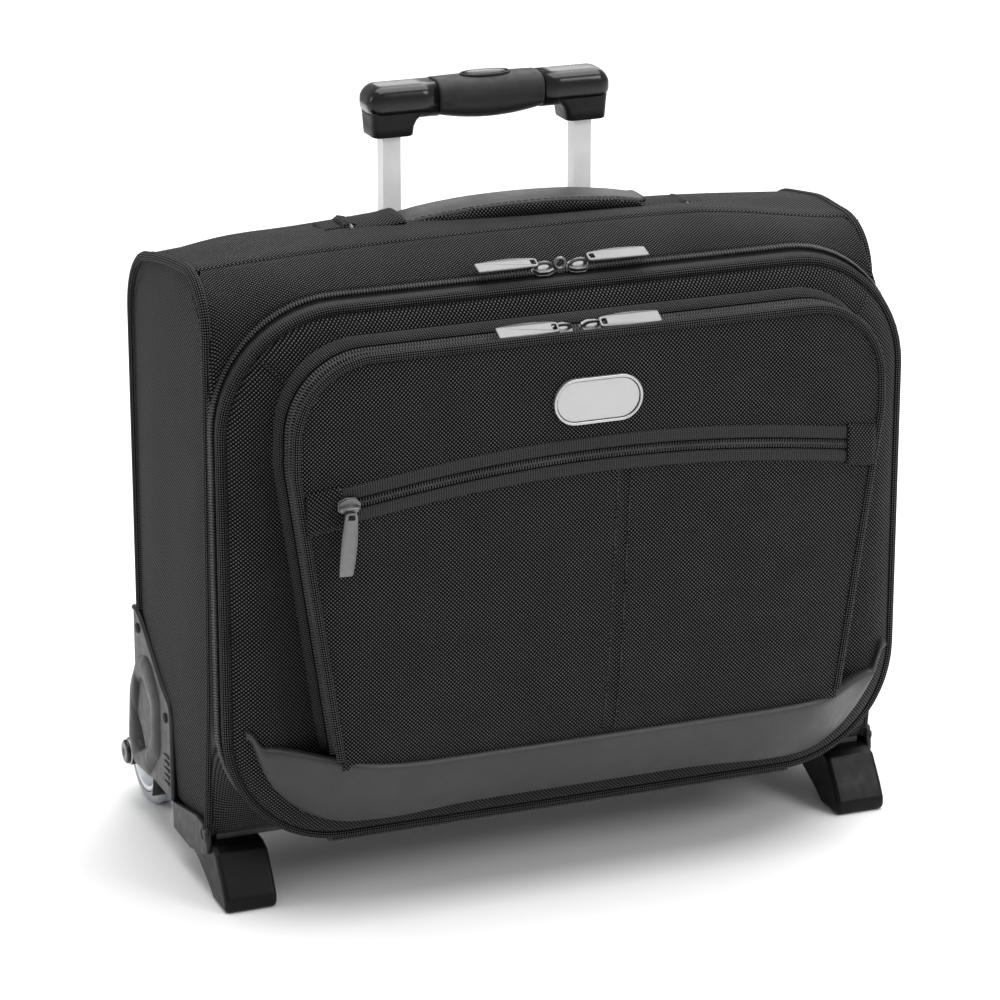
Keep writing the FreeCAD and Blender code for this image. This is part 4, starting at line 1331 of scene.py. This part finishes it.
def stuff(obj, pressure, cap, voxel, frames=20):
    """Swells a closed form as filled fabric does, moving no point further than the cap."""
    bpy.context.view_layer.objects.active = obj
    remesh = modify(obj, "REMESH", mode="VOXEL", voxel_size=voxel)
    settle(obj, remesh)
    start = np.array([v.co for v in obj.data.vertices])
    cloth = modify(obj, "CLOTH")
    cloth.settings.quality = 6
    cloth.settings.use_pressure = True
    cloth.settings.uniform_pressure_force = pressure
    cloth.settings.effector_weights.gravity = 0
    cloth.settings.tension_stiffness = 22
    cloth.settings.compression_stiffness = 22
    cloth.settings.bending_stiffness = 1.2
    cloth.point_cache.frame_start = 1
    cloth.point_cache.frame_end = frames
    for frame_number in range(1, frames + 1):
        bpy.context.scene.frame_set(frame_number)
    settle(obj, cloth)
    bpy.context.scene.frame_set(1)
    moved = np.array([v.co for v in obj.data.vertices])
    step = moved - start
    far = np.linalg.norm(step, axis=1)
    step *= np.minimum(1, cap / np.maximum(far, 1e-9))[:, None]
    obj.data.vertices.foreach_set("co", (start + step).astype(np.float32).ravel())
    modify(obj, "SUBSURF", levels=1, render_levels=1)


def settle(obj, modifier):
    """Writes what a modifier gives into the object's mesh and removes the modifier."""
    bpy.context.view_layer.update()
    result = bpy.data.meshes.new_from_object(
        obj.evaluated_get(bpy.context.evaluated_depsgraph_get()))
    obj.modifiers.remove(modifier)
    slots = list(obj.data.materials)
    obj.data = result
    if not result.materials:
        for material in slots:
            result.materials.append(material)
    result.polygons.foreach_set("use_smooth", [True] * len(result.polygons))


def box_uv(obj):
    """UVs in metres from whichever axis a face looks along most."""
    mesh = obj.data
    layer = mesh.uv_layers.get("UVMap") or mesh.uv_layers.new(name="UVMap")
    for face in mesh.polygons:
        a, b = {0: (1, 2), 1: (0, 2), 2: (0, 1)}[int(np.argmax(np.abs(face.normal)))]
        for loop in face.loop_indices:
            co = mesh.vertices[mesh.loops[loop].vertex_index].co
            layer.data[loop].uv = (co[a], co[b])


def pad_height(x):
    """How high the carry handle arches, from 0 at its ends to 1."""
    return np.cos(np.clip(np.abs(x) / (84 * MM), 0, 1) * math.pi / 2) ** 0.75


def strap_half(x):
    """Half the width of the carry handle's top strap."""
    return (12.5 + 2.5 * float(pad_height(x))) * MM


def carry_handle():
    """The stuffed carry handle with its top strap, end tabs, loops and anchors."""
    low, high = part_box("carry_handle_pad")
    line, reach = (low.y + high.y) / 2, high.x
    rings = []
    for t in np.linspace(-1, 1, 41):
        x = t * (reach - 1 * MM)
        arch = pad_height(x)
        bottom = low.z + 3.2 * MM * arch + 1.2 * MM
        thick = (4.6 + 5.4 * arch) * MM
        deep = (13.5 + 3.5 * arch) * MM
        y, z = oval_ring(deep, thick / 2, 3.4, 44)
        rings.append(xyz(x, line + y, bottom + thick / 2 + z))
    pad = grid("carry_pad", rings, FABRIC, "carry_handle", closed=True, caps=True,
               replaces=["carry_handle_pad"])
    stuff(pad, 3.0, 2.5 * MM, 3 * MM)
    box_uv(pad)
    tree = BVHTree.FromPolygons([v.co for v in pad.data.vertices],
                                [tuple(p.vertices) for p in pad.data.polygons])

    def top_of(x, y):
        hit = tree.ray_cast(Vector((x, y, 0.5)), Vector((0, 0, -1)))[0]
        return hit.z if hit else low.z + 4 * MM

    rows = []
    for v in np.linspace(-1, 1, 11):
        row = []
        for x in np.linspace(-reach - 1 * MM, reach + 1 * MM, 61):
            y = line + 1 * MM + v * strap_half(x)
            drop = 0.9 * MM * abs(v) ** 6
            inner = float(np.clip(x, 3 * MM - reach, reach - 3 * MM))
            row.append((x, y, top_of(inner, y) + 0.9 * MM - drop))
        rows.append(row)
    # The strap takes the darker copy of the leatherette, which paints shade on it.
    grid("handle_top_strap", rows, TRIM_SHADED, "carry_handle", thick=-CLOTH,
         replaces=["carry_handle_strap"])
    for name, edge in (("a", 0.86), ("b", -0.86)):
        seam = []
        for x in np.linspace(4 * MM - reach, reach - 4 * MM, 60):
            y = line + 1 * MM + edge * strap_half(x)
            seam.append((x, y, top_of(x, y) + 0.4 * MM))
        stitches("handle_stitches_" + name, seam, (0, 0, 1), "carry_handle")
    for name, side in SIDES:
        xs = np.array([76, 80, 84, 88, 93, 100, 106, 110.5, 112.5, 112, 110, 104, 96]) * MM * side
        lift = np.array([4.0, 3.6, 2.9, 2.3, 2.0, 1.9, 2.1, 2.8, 2.3, 1.3, 1.0, 0.9, 0.9]) * MM
        rows = []
        for v in np.linspace(-1, 1, 9):
            wide = np.interp(np.abs(xs), [76 * MM, 100 * MM], [17 * MM, 14 * MM])
            base_z = top_height(xs, line) - 0.3 * MM
            drop = np.minimum(2.6 * MM * abs(v) ** 3, lift * 0.9)
            rows.append(xyz(xs, line + v * wide, base_z + lift - drop))
        tab = grid("handle_tab_" + name, rows, FABRIC, None, thick=1.0 * MM * side)
        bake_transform(tab)
        loop_x = 109 * MM * side
        loop_z = float(top_height(loop_x, line))
        loop = [(loop_x, line + y * MM, loop_z + z * MM)
                for y, z in ((-13.4, 0.2), (-14, 1.0), (-13, 1.8), (-11, 2.2), (0, 2.3), (11, 2.2),
                             (13, 1.8), (14, 1.0), (13.4, 0.2), (11, -0.4), (0, -0.5), (-11, -0.4))]
        cord_piece("handle_loop_" + name, loop, 1.2 * MM, NICKEL, "case", closed=True, up=(1, 0, 0),
                   spacing=1.4 * MM, slot="chrome")
        anchor_x = np.array([113, 112.5, 109, 105.5, 105, 109, 116, 124, 126]) * MM * side
        anchor_z = np.array([0.8, 2.6, 3.6, 2.6, 1.0, 0.8, 0.9, 0.9, 0.3]) * MM
        rows = [xyz(anchor_x, line + v * 10 * MM, top_height(anchor_x, line) + anchor_z)
                for v in np.linspace(-1, 1, 5)]
        grid("handle_anchor_" + name, rows, FABRIC, "case", thick=0.8 * MM * side)
    stands_for("handle_loop_left", "strap_loops")
    stands_for("handle_anchor_left", "handle_strap_ends")


carry_handle()
button_leaf()


# ------------------------------------------------------------------ wheels, housings and feet

def half_size(node):
    """Half the size of a CAD node's box."""
    low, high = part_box(node)
    return (high - low) / 2


def wheel(name):
    """Tyre, rim, web with six windows, and boss."""
    hub = middle("wheel_hub_" + name)
    tread, wide = half_size("tyre_" + name).z, half_size("tyre_" + name).x
    rim = half_size("wheel_hub_" + name).z
    body = "wheel_" + name
    profile = both_sides([(-wide, rim + 0.4 * MM), (-wide, tread - 4.5 * MM),
                          (-wide + 1.2 * MM, tread - 1.8 * MM),
                          (-wide + 3.6 * MM, tread - 0.3 * MM),
                          (-3.2 * MM, tread), (-2.6 * MM, tread - 0.9 * MM)])
    turned("tyre_tread_" + name, profile, hub, TYRE, body, 96, replaces=["tyre_" + name])
    ring = both_sides([(-wide + 0.5 * MM, rim - 3 * MM), (-wide, rim - 2 * MM),
                       (-wide, rim - 0.2 * MM)])
    ring += [(3 * MM, rim - 4.5 * MM), (-3 * MM, rim - 4.5 * MM), ring[0]]
    turned("wheel_rim_" + name, ring, hub, HUB, body, 96, replaces=["wheel_hub_" + name])
    holes = []
    wedge = ((11, 0.16), (13, 0.3), (20.5, 0.36), (21.5, 0.26))    # radius, half its angle
    for angle in np.arange(6) * math.tau / 6:
        near = [(r * math.cos(angle - s), r * math.sin(angle - s)) for r, s in wedge]
        far = [(r * math.cos(angle + s), r * math.sin(angle + s)) for r, s in wedge[::-1]]
        holes.append([(hub.y + u * MM, hub.z + v * MM) for u, v in near + far])
    shaped("wheel_web_" + name, [circle(hub.y, hub.z, rim - 3.5 * MM, 64)] + holes, "X",
           hub.x - 3 * MM, hub.x + 3 * MM, 0.6 * MM, HUB, body)
    boss = both_sides([(-wide - 0.1 * MM, 4.4 * MM), (-wide - 0.1 * MM, 7 * MM),
                       (-wide + 1 * MM, 8.2 * MM)])
    turned("wheel_boss_" + name, boss, hub, HUB, body, 40)


def path_cord(name, points, x, radius, material, body, **rest):
    """A moulded bead that follows (y, z) points in millimetres on a side."""
    line = [(x, y * MM, z * MM) for y, z in points]
    cord_piece(name, line, radius, material, body, up=(1, 0, 0), spacing=2.5 * MM, **rest)


def arc_points(centre, radius, start, end, count):
    """Points of an arc, with its ends in degrees."""
    angles = np.radians(np.linspace(start, end, count))
    return [(centre[0] + radius * math.cos(a), centre[1] + radius * math.sin(a)) for a in angles]


def housing(name, side):
    """The moulded corner that holds a wheel: cheek, bead, fairing, well, cap and screws."""
    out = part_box("side_panel_" + name)[0 if side < 0 else 1].x
    hub = middle("wheel_hub_" + name)
    wheel_at = (hub.y / MM, hub.z / MM)

    def x_range(near, far):
        return tuple(sorted((out + side * near * MM, out + side * far * MM)))

    inner_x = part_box("wheel_housing_" + name)[0 if side > 0 else 1].x
    well = arc_points(wheel_at, 39, 122, 178, 12)
    cheek = [(13, 36), (13, 92)] + arc_points((23, 92), 10, 180, 120, 5)[1:]
    cheek += [(30, 106.5), (50, 121), (66, 133), (79, 139.5), (87.5, 139.5), (87.5, 100)]
    cheek += well + [(66, 36)]
    cheek = [(y * MM, z * MM) for y, z in cheek][::-1]
    shaped("housing_cheek_" + name, [cheek], "X", *x_range(-0.5, 3.4), 1.0 * MM, CORNER, "case",
           replaces=["wheel_housing_" + name])
    rim = [(13.5, 38), (13.5, 92)] + arc_points((23, 92), 9.5, 180, 120, 5)[1:]
    rim += [(30, 105.5), (50, 120), (66, 132), (79, 138.7), (87, 139)]
    path_cord("housing_rim_" + name, rim, out + side * 2.6 * MM, 1.9 * MM, CORNER, "case")
    outer = fillet_path([(34, 58), (62, 33), (96, 31), (104, 48), (96, 92), (78, 112), (54, 120),
                         (33, 98)], [16, 18, 9, 12, 26, 16, 18, 16], 7, 4)
    inner = fillet_path([(57, 70), (62, 60), (74, 50), (80, 52), (82, 66), (79, 88), (73, 92),
                         (58, 84)], [5, 5, 4, 3, 6, 4, 4, 6], 7, 4)
    if np.cross(outer[1] - outer[0], outer[2] - outer[1]) < 0:
        outer, inner = outer[::-1], inner[::-1]
    rows = []
    for t in np.linspace(0, 1, 15):
        crest = math.sin(math.pi * min(1.0, t * 1.12)) ** 0.62 if t < 0.89 else 0
        path = outer + (inner - outer) * t
        lift = (1.6 + 4.6 * crest) if t < 0.9 else 1.6 - (t - 0.9) * 30
        rows.append(xyz(out + side * lift * MM, path[:, 0] * MM, path[:, 1] * MM))
    if side > 0:
        rows = rows[::-1]
    loop = grid("housing_loop_" + name, rows, CORNER, "case", closed=True)
    modify(loop, "SUBSURF", levels=1, render_levels=1)
    boss = profile_mm(side, (11.5, 4.2), (11.5, 8.8), (18.4, 8.8), (19.2, 8.2), (19.4, 6.6),
                      (18.6, 6.0), (18.6, 3.9))
    turned("housing_boss_" + name, boss, hub, CORNER, "case", 36)
    cap = profile_mm(side, (18.3, 7.7), (21, 7.7), (21.8, 6.6), (21.8, 3.0), (21.4, 2.4))
    turned("axle_cap_" + name, cap, hub, GLOSS_BLACK, "case", 36, caps=True, slot="steel")
    ring = xyz(hub.x + side * 18.9 * MM, *circle(hub.y, hub.z, 8 * MM, 36).T)
    cord_piece("axle_ring_" + name, ring, 0.6 * MM, STEEL, "case", closed=True, up=(1, 0, 0),
               spacing=1.2 * MM)
    rows = []
    for x in np.linspace(inner_x, out, 7):
        arc = arc_points(wheel_at, 40.5, 98, 205, 30)
        rows.append([(x, y * MM, z * MM) for y, z in arc])
    grid("wheel_well_" + name, rows, CORNER, "case", thick=CLOTH)
    back = [(BACK / MM, 40), (BACK / MM, 74)] + arc_points(wheel_at, 40.5, 128, 172, 20)
    shaped("wheel_well_wall_" + name, [[(y * MM, z * MM) for y, z in back]], "X",
           *sorted((inner_x, inner_x + side * 2 * MM)), 0.4 * MM, CORNER, "case")
    for k in range(5):
        z = 46 + k * 4.4
        path_cord("housing_rib_%d_%s" % (k, name), [(17, z), (28, z - 1)], out + side * 3.4 * MM,
                  1.0 * MM, CORNER, "case")
    for k, (y, z) in enumerate(((24, 88), (78, 128))):
        screw("housing_screw_%d_%s" % (k, name), (out + side * 3.2 * MM, y * MM, z * MM), side,
              "case")


def screw(name, at, side, body):
    """Pan head with a cross recess, facing out along X."""
    head = profile_mm(side, (0, 3.3), (0.5, 3.3), (1.2, 2.9), (1.7, 2.1), (1.9, 1.2), (1.9, 0.1))
    turned(name, head, at, MATTE_BLACK, body, 28, caps=True, slot="steel")
    at = Vector(at) + Vector((side * 1.75 * MM, 0, 0))
    bars(name + "_cross", [at, at], [Vector((0, 0.7071, 0.7071)), Vector((0, 0.7071, -0.7071))],
         [Vector((0, 0.7071, -0.7071)), Vector((0, 0.7071, 0.7071))], [Vector((side, 0, 0))] * 2,
         (3.2 * MM, 0.7 * MM, 0.5 * MM), GLOSS_BLACK, body, slot=None)


def foot(name, side):
    """A front foot with its corner bracket and curled tail."""
    low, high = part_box("front_foot_" + name)
    inner = (high.x if side < 0 else low.x) - side * 1 * MM
    outer = inner + side * 33.5 * MM
    outline = rounded(((-82, 0), (-57, 0), (-47, 6), (-26, 15.5), (14, 19), (24, 36), (-57, 36),
                       (-65, 33), (-76, 18.5), (-82.5, 8)), (4, 3, 16, 24, 3, 0, 0, 4, 20, 9), 8)
    taper, tall = 0.02, 36 * MM

    def flare(u, v, w):
        """The foot narrows a little towards the floor."""
        centre = (inner + outer) / 2
        share = 1 - taper * (tall - v) / tall
        off_centre = min(1, abs(w - centre) / (13.5 * MM))
        dish = 0.8 * MM * math.cos(off_centre * math.pi / 2) * (u < -40 * MM)
        return (centre + (w - centre) * share, u + dish, v)

    shaped("foot_moulding_" + name, [outline], "X", min(inner, outer), max(inner, outer), 3.2 * MM,
           FOOT, "case", bend=flare, replaces=["front_foot_" + name])
    shell = rounded(((-57, 30), (-42, 24), (-20, 19.5), (12, 20), (12, 37.5), (-36, 47), (-55, 46)),
                    (4, 8, 8, 2, 2, 6, 4))
    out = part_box("side_panel_" + name)[0 if side < 0 else 1].x
    shaped("foot_bracket_" + name, [shell], "X",
           *sorted((outer - side * 1 * MM, out + side * 4 * MM)), 1.3 * MM, CORNER, "case")
    curl = arc_points((-50, 40.5), 4.6, 150, 480, 22)
    path_cord("foot_curl_" + name, curl, out + side * 3.0 * MM, 1.7 * MM, CORNER, "case")


for side_name, side_sign in SIDES:
    wheel(side_name)
    housing(side_name, side_sign)
    foot(side_name, side_sign)
stands_for("housing_screw_0_left", "housing_screws")


# ------------------------------------------------------------------ underside, linings and gussets

def underside():
    """Cloth under the base with its front fold and two runners."""
    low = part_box("base_board")[0]
    xs = np.linspace(-150 * MM, 150 * MM, 41)
    profile = [(low.y + 9 * MM, low.z - 0.6 * MM), (low.y + 1.6 * MM, low.z + 0.1 * MM),
               (low.y + 0.3 * MM, low.z + 1.8 * MM), (low.y + 0.8 * MM, low.z + 3.6 * MM),
               (low.y + 5 * MM, low.z + 5.4 * MM)]
    rows = [xyz(xs, y, z) for y, z in profile]
    grid("base_front_fold", rows, FABRIC, "case", thick=1.0 * MM)
    xs = np.linspace(-HALF + 2 * MM, HALF - 2 * MM, 45)
    ys = np.linspace(FRONT_BASE + 1 * MM, 62 * MM, 13)
    rows = [xyz(xs, y, low.z - 0.9 * MM - 0.5 * MM * math.sin(y * 40)) for y in ys]
    grid("base_cloth", rows, FABRIC, "case", thick=0.8 * MM)
    seam = [(3 * MM, y, z - 0.8 * MM) for y, z in profile[:4]]
    cord_piece("base_front_seam", seam, 0.7 * MM, FABRIC, "case", spacing=2 * MM, slot=None)
    for name, side in SIDES:
        bar = [(side * 60 * MM, y, low.z - 2 * MM) for y in (-40 * MM, 56 * MM)]
        cord_piece("base_runner_" + name, bar, 2.6 * MM, CORNER, "case", spacing=8 * MM,
                   up=(0, 0, 1), flat=0.8)


def linings():
    """Cloth inside the case and the lid."""
    inset_x = HALF - 4.4 * MM
    for name, side in SIDES:
        rows = []
        for z in np.linspace(BASE + 2 * MM, TOP - 17 * MM, 24):
            near = float(front_edge(z)) + 4 * MM + max(0, z - 0.355) * 1.6
            ys = np.linspace(near, 36 * MM, 14)
            wave = 0.8 * MM * np.sin(ys * 70 + z * 23)
            rows.append(lean(xyz(side * inset_x + wave * side, ys, z)))
        grid("lining_side_" + name, rows, LINING, "case", thick=LINER * side)
    xs = np.linspace(-inset_x, inset_x, 30)
    rows = []
    for y in np.linspace(CREASE_Y + 2 * MM, 34 * MM, 9):
        wave = 0.6 * MM * np.sin(xs * 45 + y * 30)
        rows.append(xyz(xs * 0.985, y, top_height(xs, y) - 5.5 * MM + wave))
    grid("lining_top", rows, LINING, "case", thick=LINER)
    rows = [xyz(xs, y, BASE + 1.4 * MM + 0.4 * MM * np.sin(xs * 30 + y * 50))
            for y in np.linspace(FRONT_BASE + 5 * MM, 34 * MM, 9)]
    grid("lining_base", rows, LINING, "case", thick=-LINER)
    rows = [lean(xyz(xs, 36.4 * MM + 0.5 * MM * np.sin(xs * 30 + z * 20), z))
            for z in np.linspace(BASE + 1 * MM, TOP - 16 * MM, 20)]
    grid("lining_back", rows, LINING, "case", thick=LINER, replaces=["handle_cover_board"])
    path = lid_path()
    rings = [at_y(inset(path, d * MM), LID_RIM + y * MM)
             for d, y in ((2.4, 7), (3, 3), (4, -0.6), (9, -5.5), (17, -8.6), (30, -11))]
    rings = disc_fill(rings)
    grid("lining_lid", rings, LINING, "lid", closed=True, thick=LINER, uv=flat_uv(rings))


def divider():
    """The padded laptop divider and its strap."""
    low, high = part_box("laptop_divider")
    rings = []
    y_mid, centre_z = (low.y + high.y) / 2, (low.z + high.z) / 2
    half_x, half_z = high.x - 2 * MM, (high.z - low.z) / 2 - 2 * MM
    for t in np.linspace(-1, 1, 9):
        shrink = 3.5 * MM * (1 - math.sqrt(1 - t * t * 0.98))
        x, z = half_x - shrink, half_z - shrink
        corners = [(-x, centre_z - z), (x, centre_z - z), (x, centre_z + z), (-x, centre_z + z)]
        outline = fillet_path(corners, [6 * MM, 6 * MM, 26 * MM, 26 * MM], 8, 18)
        rings.append(at_y(outline, y_mid + t * 2.6 * MM))
    pad = grid("laptop_pad", disc_fill(rings, (0.75, 0.5, 0.25, 0.04)), LINING, "case", closed=True,
               caps=True, replaces=["laptop_divider"])
    stuff(pad, 2.0, 1.6 * MM, 5 * MM)
    box_uv(pad)
    strap = []
    for v in np.linspace(-1, 1, 5):
        x = v * 19 * MM
        strap.append([(x, y_mid - 4.6 * MM, high.z - 70 * MM),
                      (x, y_mid - 5.4 * MM, high.z - 30 * MM),
                      (x, y_mid - 4.9 * MM, high.z - 4 * MM), (x, y_mid, high.z + 2.6 * MM),
                      (x, y_mid + 8 * MM, high.z + 4.0 * MM), (x, 34.6 * MM, high.z + 3 * MM),
                      (x, 35.2 * MM, high.z - 30 * MM)])
    grid("laptop_strap", strap, BINDING, "case", thick=0.8 * MM)


def zip_half(z):
    """Half the width of the zip's ring at a height below its top corners."""
    below = max(0.0, lid_lo.z + ZIP_ROUND - z)
    return zip_hi.x - ZIP_ROUND + math.sqrt(ZIP_ROUND ** 2 - min(below, ZIP_ROUND) ** 2)


def gusset(name, side, x_of, y_of, z_range, folds, depth):
    """A pleated side gusset in one fixed shape with its pleats folded; it doesn't unfold as the
    panel it holds swings open.

    At each height x_of gives its place out from the middle and y_of the Y of its two edges.
    """
    zs = np.linspace(*z_range, 22)
    rows = []
    for z in zs:
        y0, y1 = y_of(z)
        t = np.linspace(0, 1, folds * 4 + 1)
        fade = min(1, (z_range[1] - z) * 40 + 0.15)
        pleat = depth * (0.5 - 0.5 * np.cos(t * folds * math.tau)) * fade
        rows.append(xyz(side * (x_of(z) - pleat), y0 + (y1 - y0) * t, z))
    made = grid(name, rows, LINING, None)
    modify(made, "SOLIDIFY", thickness=0.5 * MM, offset=0)
    y0, y1 = y_of(z_range[0])
    spot = side * x_of(z_range[0])
    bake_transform(made)


def gussets():
    """Pleated sides of the lid and of the pocket."""
    for name, side in SIDES:
        gusset("lid_gusset_" + name, side,
               lambda z: zip_half(z) - 9 * MM,
               lambda z: (float(front_edge(z)) + 3 * MM, LID_RIM - 1 * MM),
               (66 * MM, 190 * MM), 2, 7 * MM)
        gusset("flap_gusset_" + name, side,
               lambda z: float(pocket_half(z)) - 6 * MM,
               lambda z: (LID_FACE - 1 * MM, POCKET_RIM + 1 * MM),
               (112 * MM, 215 * MM), 2, 7 * MM)


underside()
linings()
divider()
gussets()


# ------------------------------------------------------------------ finishes of the CAD nodes

def finish_nodes():
    """Materials of the CAD nodes that show as they are."""
    looks = {
        "outer_tube_": ALUMINIUM, "middle_tube_": ALUMINIUM, "inner_tube_": ALUMINIUM,
        "lock_pin_": STEEL, "release_rods": STEEL, "tube_shoes": CORNER,
        "wheel_axles": STEEL, "base_board": BOARD,
    }
    for name, obj in frame["nodes"].items():
        for start, material in looks.items():
            if name.startswith(start):
                for place in obj.material_slots:
                    place.material = material


finish_nodes()


# ------------------------------------------------------------------ stage, lights and camera

def studio():
    """White floor, world light and four lamps."""
    floor = piece("studio_floor", [(-6, -6, 0), (6, -6, 0), (6, 6, 0), (-6, 6, 0)], [(0, 1, 2, 3)],
                  Nodes("floor_paper", (0.93, 0.93, 0.93), 0.9).material)
    world = bpy.data.worlds.new("studio")
    bpy.context.scene.world = world
    world.use_nodes = True
    sky = world.node_tree.nodes["Background"]
    sky.inputs["Color"].default_value = (1, 1, 1, 1)
    sky.inputs["Strength"].default_value = 0.5
    bpy.context.scene.view_settings.view_transform = "Standard"
    lamps = (    # name, place, size, watts
        ("top_light", (0.4, 0.1, 2.7), 3.0, 112),
        ("key_light", (1.0, -1.3, 1.2), 0.7, 10),
        ("back_light", (1.3, 2.5, 1.9), 1.8, 20),
        ("side_light", (-2.6, 0.4, 1.2), 1.2, 14),
    )
    target = Vector((0, 0, 0.22))
    for name, place, size, power in lamps:
        light = bpy.data.lights.new(name, "AREA")
        light.size = size
        light.energy = power
        made = bpy.data.objects.new(name, light)
        made.location = place
        made.rotation_euler = (target - Vector(place)).to_track_quat("-Z", "Y").to_euler()
        bpy.context.collection.objects.link(made)


def camera():
    """The photograph's long lens, to the left of the front and above."""
    data = bpy.data.cameras.new("camera")
    data.lens = 147.8
    data.sensor_width = 36.0
    made = bpy.data.objects.new("camera", data)
    made.location = (-0.8971, -2.2250, 1.0175)
    made.rotation_euler = Vector((0.3508, 0.8803, -0.3195)).to_track_quat("-Z", "Y").to_euler()
    bpy.context.collection.objects.link(made)
    bpy.context.scene.camera = made


studio()
camera()
